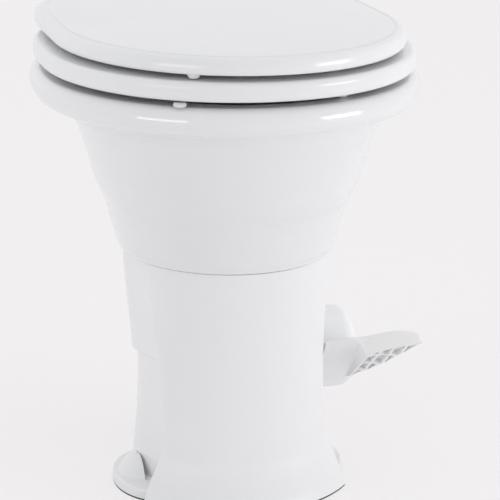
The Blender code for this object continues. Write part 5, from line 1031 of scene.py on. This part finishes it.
seat_low = RIM_TOP + SEAT_GAP
seat_high = seat_low + SEAT_THICKNESS
seat_edge = edge_turn(seat_low, seat_high, SEAT_EDGE)
seat_rows = [egg(grown(SEAT_SIZES, -inset), height, rear_power=SEAT_REAR_POWER)
             for inset, height in seat_edge]
hole_rows = [egg(grown(SEAT_OPENING, inset), height)
             for inset, height in seat_edge[::-1]]
crown = egg(between(SEAT_SIZES, SEAT_OPENING, 0.5), seat_high + SEAT_CROWN, rear_power=SEAT_CROWN_POWER)
seat_top = through([seat_rows[-1], crown, hole_rows[0]], 8)
seat_polish = polished("seat_polish", SEAT_COLOUR)
seat = skin("seat_ring_shell", np.concatenate((seat_rows[:-1], seat_top, hole_rows[1:])), seat_polish, "seat",
            wrap_rows=True)
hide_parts("seat_ring")
for side, sign in SIDES:
    hinge_arm("seat_arm_" + side, sign, HINGE_SPREAD + POST_WIDTH / 2 + FIT_GAP, seat_low + SEAT_EDGE / 2,
              SEAT_LUG_HEIGHT, seat_polish, "seat")

# The lid: a shell of the same plastic, dished underneath. Its side rolls over into a shoulder, a fine crease runs
# round inside that, and the top rises from the crease to a low crown.
LID_GAP = 0.006
LID_SIZES = (0.1700, 0.1965, 0.2020)
LID_REAR_POWER = 4.4
# Inset and height of the side, from its foot up over the shoulder
LID_SIDE_ROWS = ((0.0022, 0), (0.00066, 0.00154), (0, 0.0075), (0.0012, 0.0114), (0.0040, 0.0140))
LID_CREASE_INSET = 0.0108
LID_CREASE_HEIGHT = 0.0155
LID_CREASE_DEPTH = 0.0009
LID_CREASE_WIDTH = 0.0018
LID_CROWN = 0.0034
LID_DISH_RIM = 0.011
LID_SOLE_WIDTH = 0.0010
# In from the dish's rim and up, from its floor down to the rim
LID_DISH_ROWS = ((0.0119, 0.0085), (0.0030, 0.0066), (0.0012, 0.0020), (0, 0.0004))
PLATEAU_POWER = 2.4
# Share of the plateau inside the crease, and of the crown's rise
PLATEAU_SHARES = ((0.97, 0.13), (0.86, 0.42), (0.70, 0.70), (0.55, 0.86), (0.35, 0.95), (0.20, 0.99), (0.02, 1.0))

lid_low = seat_high + LID_GAP


def lid_ring(inset, height):
    """A ring of the lid, by its inset from the outline and its height above the lid's foot."""
    return egg(grown(LID_SIZES, -inset), lid_low + height, rear_power=LID_REAR_POWER)


dish = [lid_ring(LID_DISH_RIM + inset, height) for inset, height in LID_DISH_ROWS]
crease = [lid_ring(LID_CREASE_INSET + LID_CREASE_WIDTH * place, LID_CREASE_HEIGHT - depth)
          for place, depth in ((-1, 0), (0, LID_CREASE_DEPTH), (1, 0))]
flank_turn = [lid_ring(*row) for row in LID_SIDE_ROWS] + crease[:1]
plateau_edge = grown(LID_SIZES, -LID_CREASE_INSET - LID_CREASE_WIDTH)
plateau = [crease[-1]]
for share, rise in PLATEAU_SHARES:
    power = PLATEAU_POWER + (LID_REAR_POWER - PLATEAU_POWER) * share
    plateau.append(egg([size * share for size in plateau_edge], lid_low + LID_CREASE_HEIGHT + LID_CROWN * rise,
                       rear_power=power))
lid_grid = np.concatenate((through(dish, 4), lid_ring(LID_DISH_RIM - LID_SOLE_WIDTH, 0)[None],
                           through(flank_turn, 7)[:-1], through(crease, 5), through(plateau, 6)[1:]))
lid_polish = polished("lid_polish", SEAT_COLOUR)
lid = skin("lid_shell", capped(lid_grid), lid_polish, "lid")
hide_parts("lid")
for side, sign in SIDES:
    hinge_arm("lid_arm_" + side, sign, HINGE_SPREAD - POST_WIDTH / 2 - FIT_GAP - LUG_WIDTH, lid_low + FIT_GAP,
              LID_LUG_HEIGHT, lid_polish, "lid")

# The hinges: a moulded post bolted to the deck on each side, with a steel pin through its eye that carries both
# the seat's arm and the lid's, and a wing nut that is reached from under the deck.
hinge_finish = grained("hinge_moulding", SEAT_COLOUR, 0.28)
for side in ("left", "right"):
    fair("hinge_post_" + side, hinge_finish, 0.0008)
    fair("hinge_bolt_" + side, hinge_finish, 0.0003)
    fair("hinge_nut_" + side, hinge_finish, 0.0006)
    fair("hinge_pin_" + side, steel_turned, 0.0004)

# The buffers: soft white studs pressed into the undersides of the seat and the lid, four in each, so that neither
# knocks on what lies below it. Moulded rubber, with a stem that snaps into a blind hole.
BUFFER_COLOUR = (0.72, 0.72, 0.71)
# How far the front left buffers stand from the frame's own, on the seat and on the lid
BUFFER_SHIFTS = {"seat_bumper_front_left": (-0.026, -0.005, 0), "lid_bumper_front_left": (-0.018, -0.017, 0)}
buffer_rubber = grained("buffer_rubber", BUFFER_COLOUR, 0.45, 0.00006)
for node in sorted(name for name in frame["nodes"] if "_bumper_" in name):
    stud = fair(node, buffer_rubber, 0.0006)
    stud.data.transform(Matrix.Translation(BUFFER_SHIFTS.get(node, (0, 0, 0))))
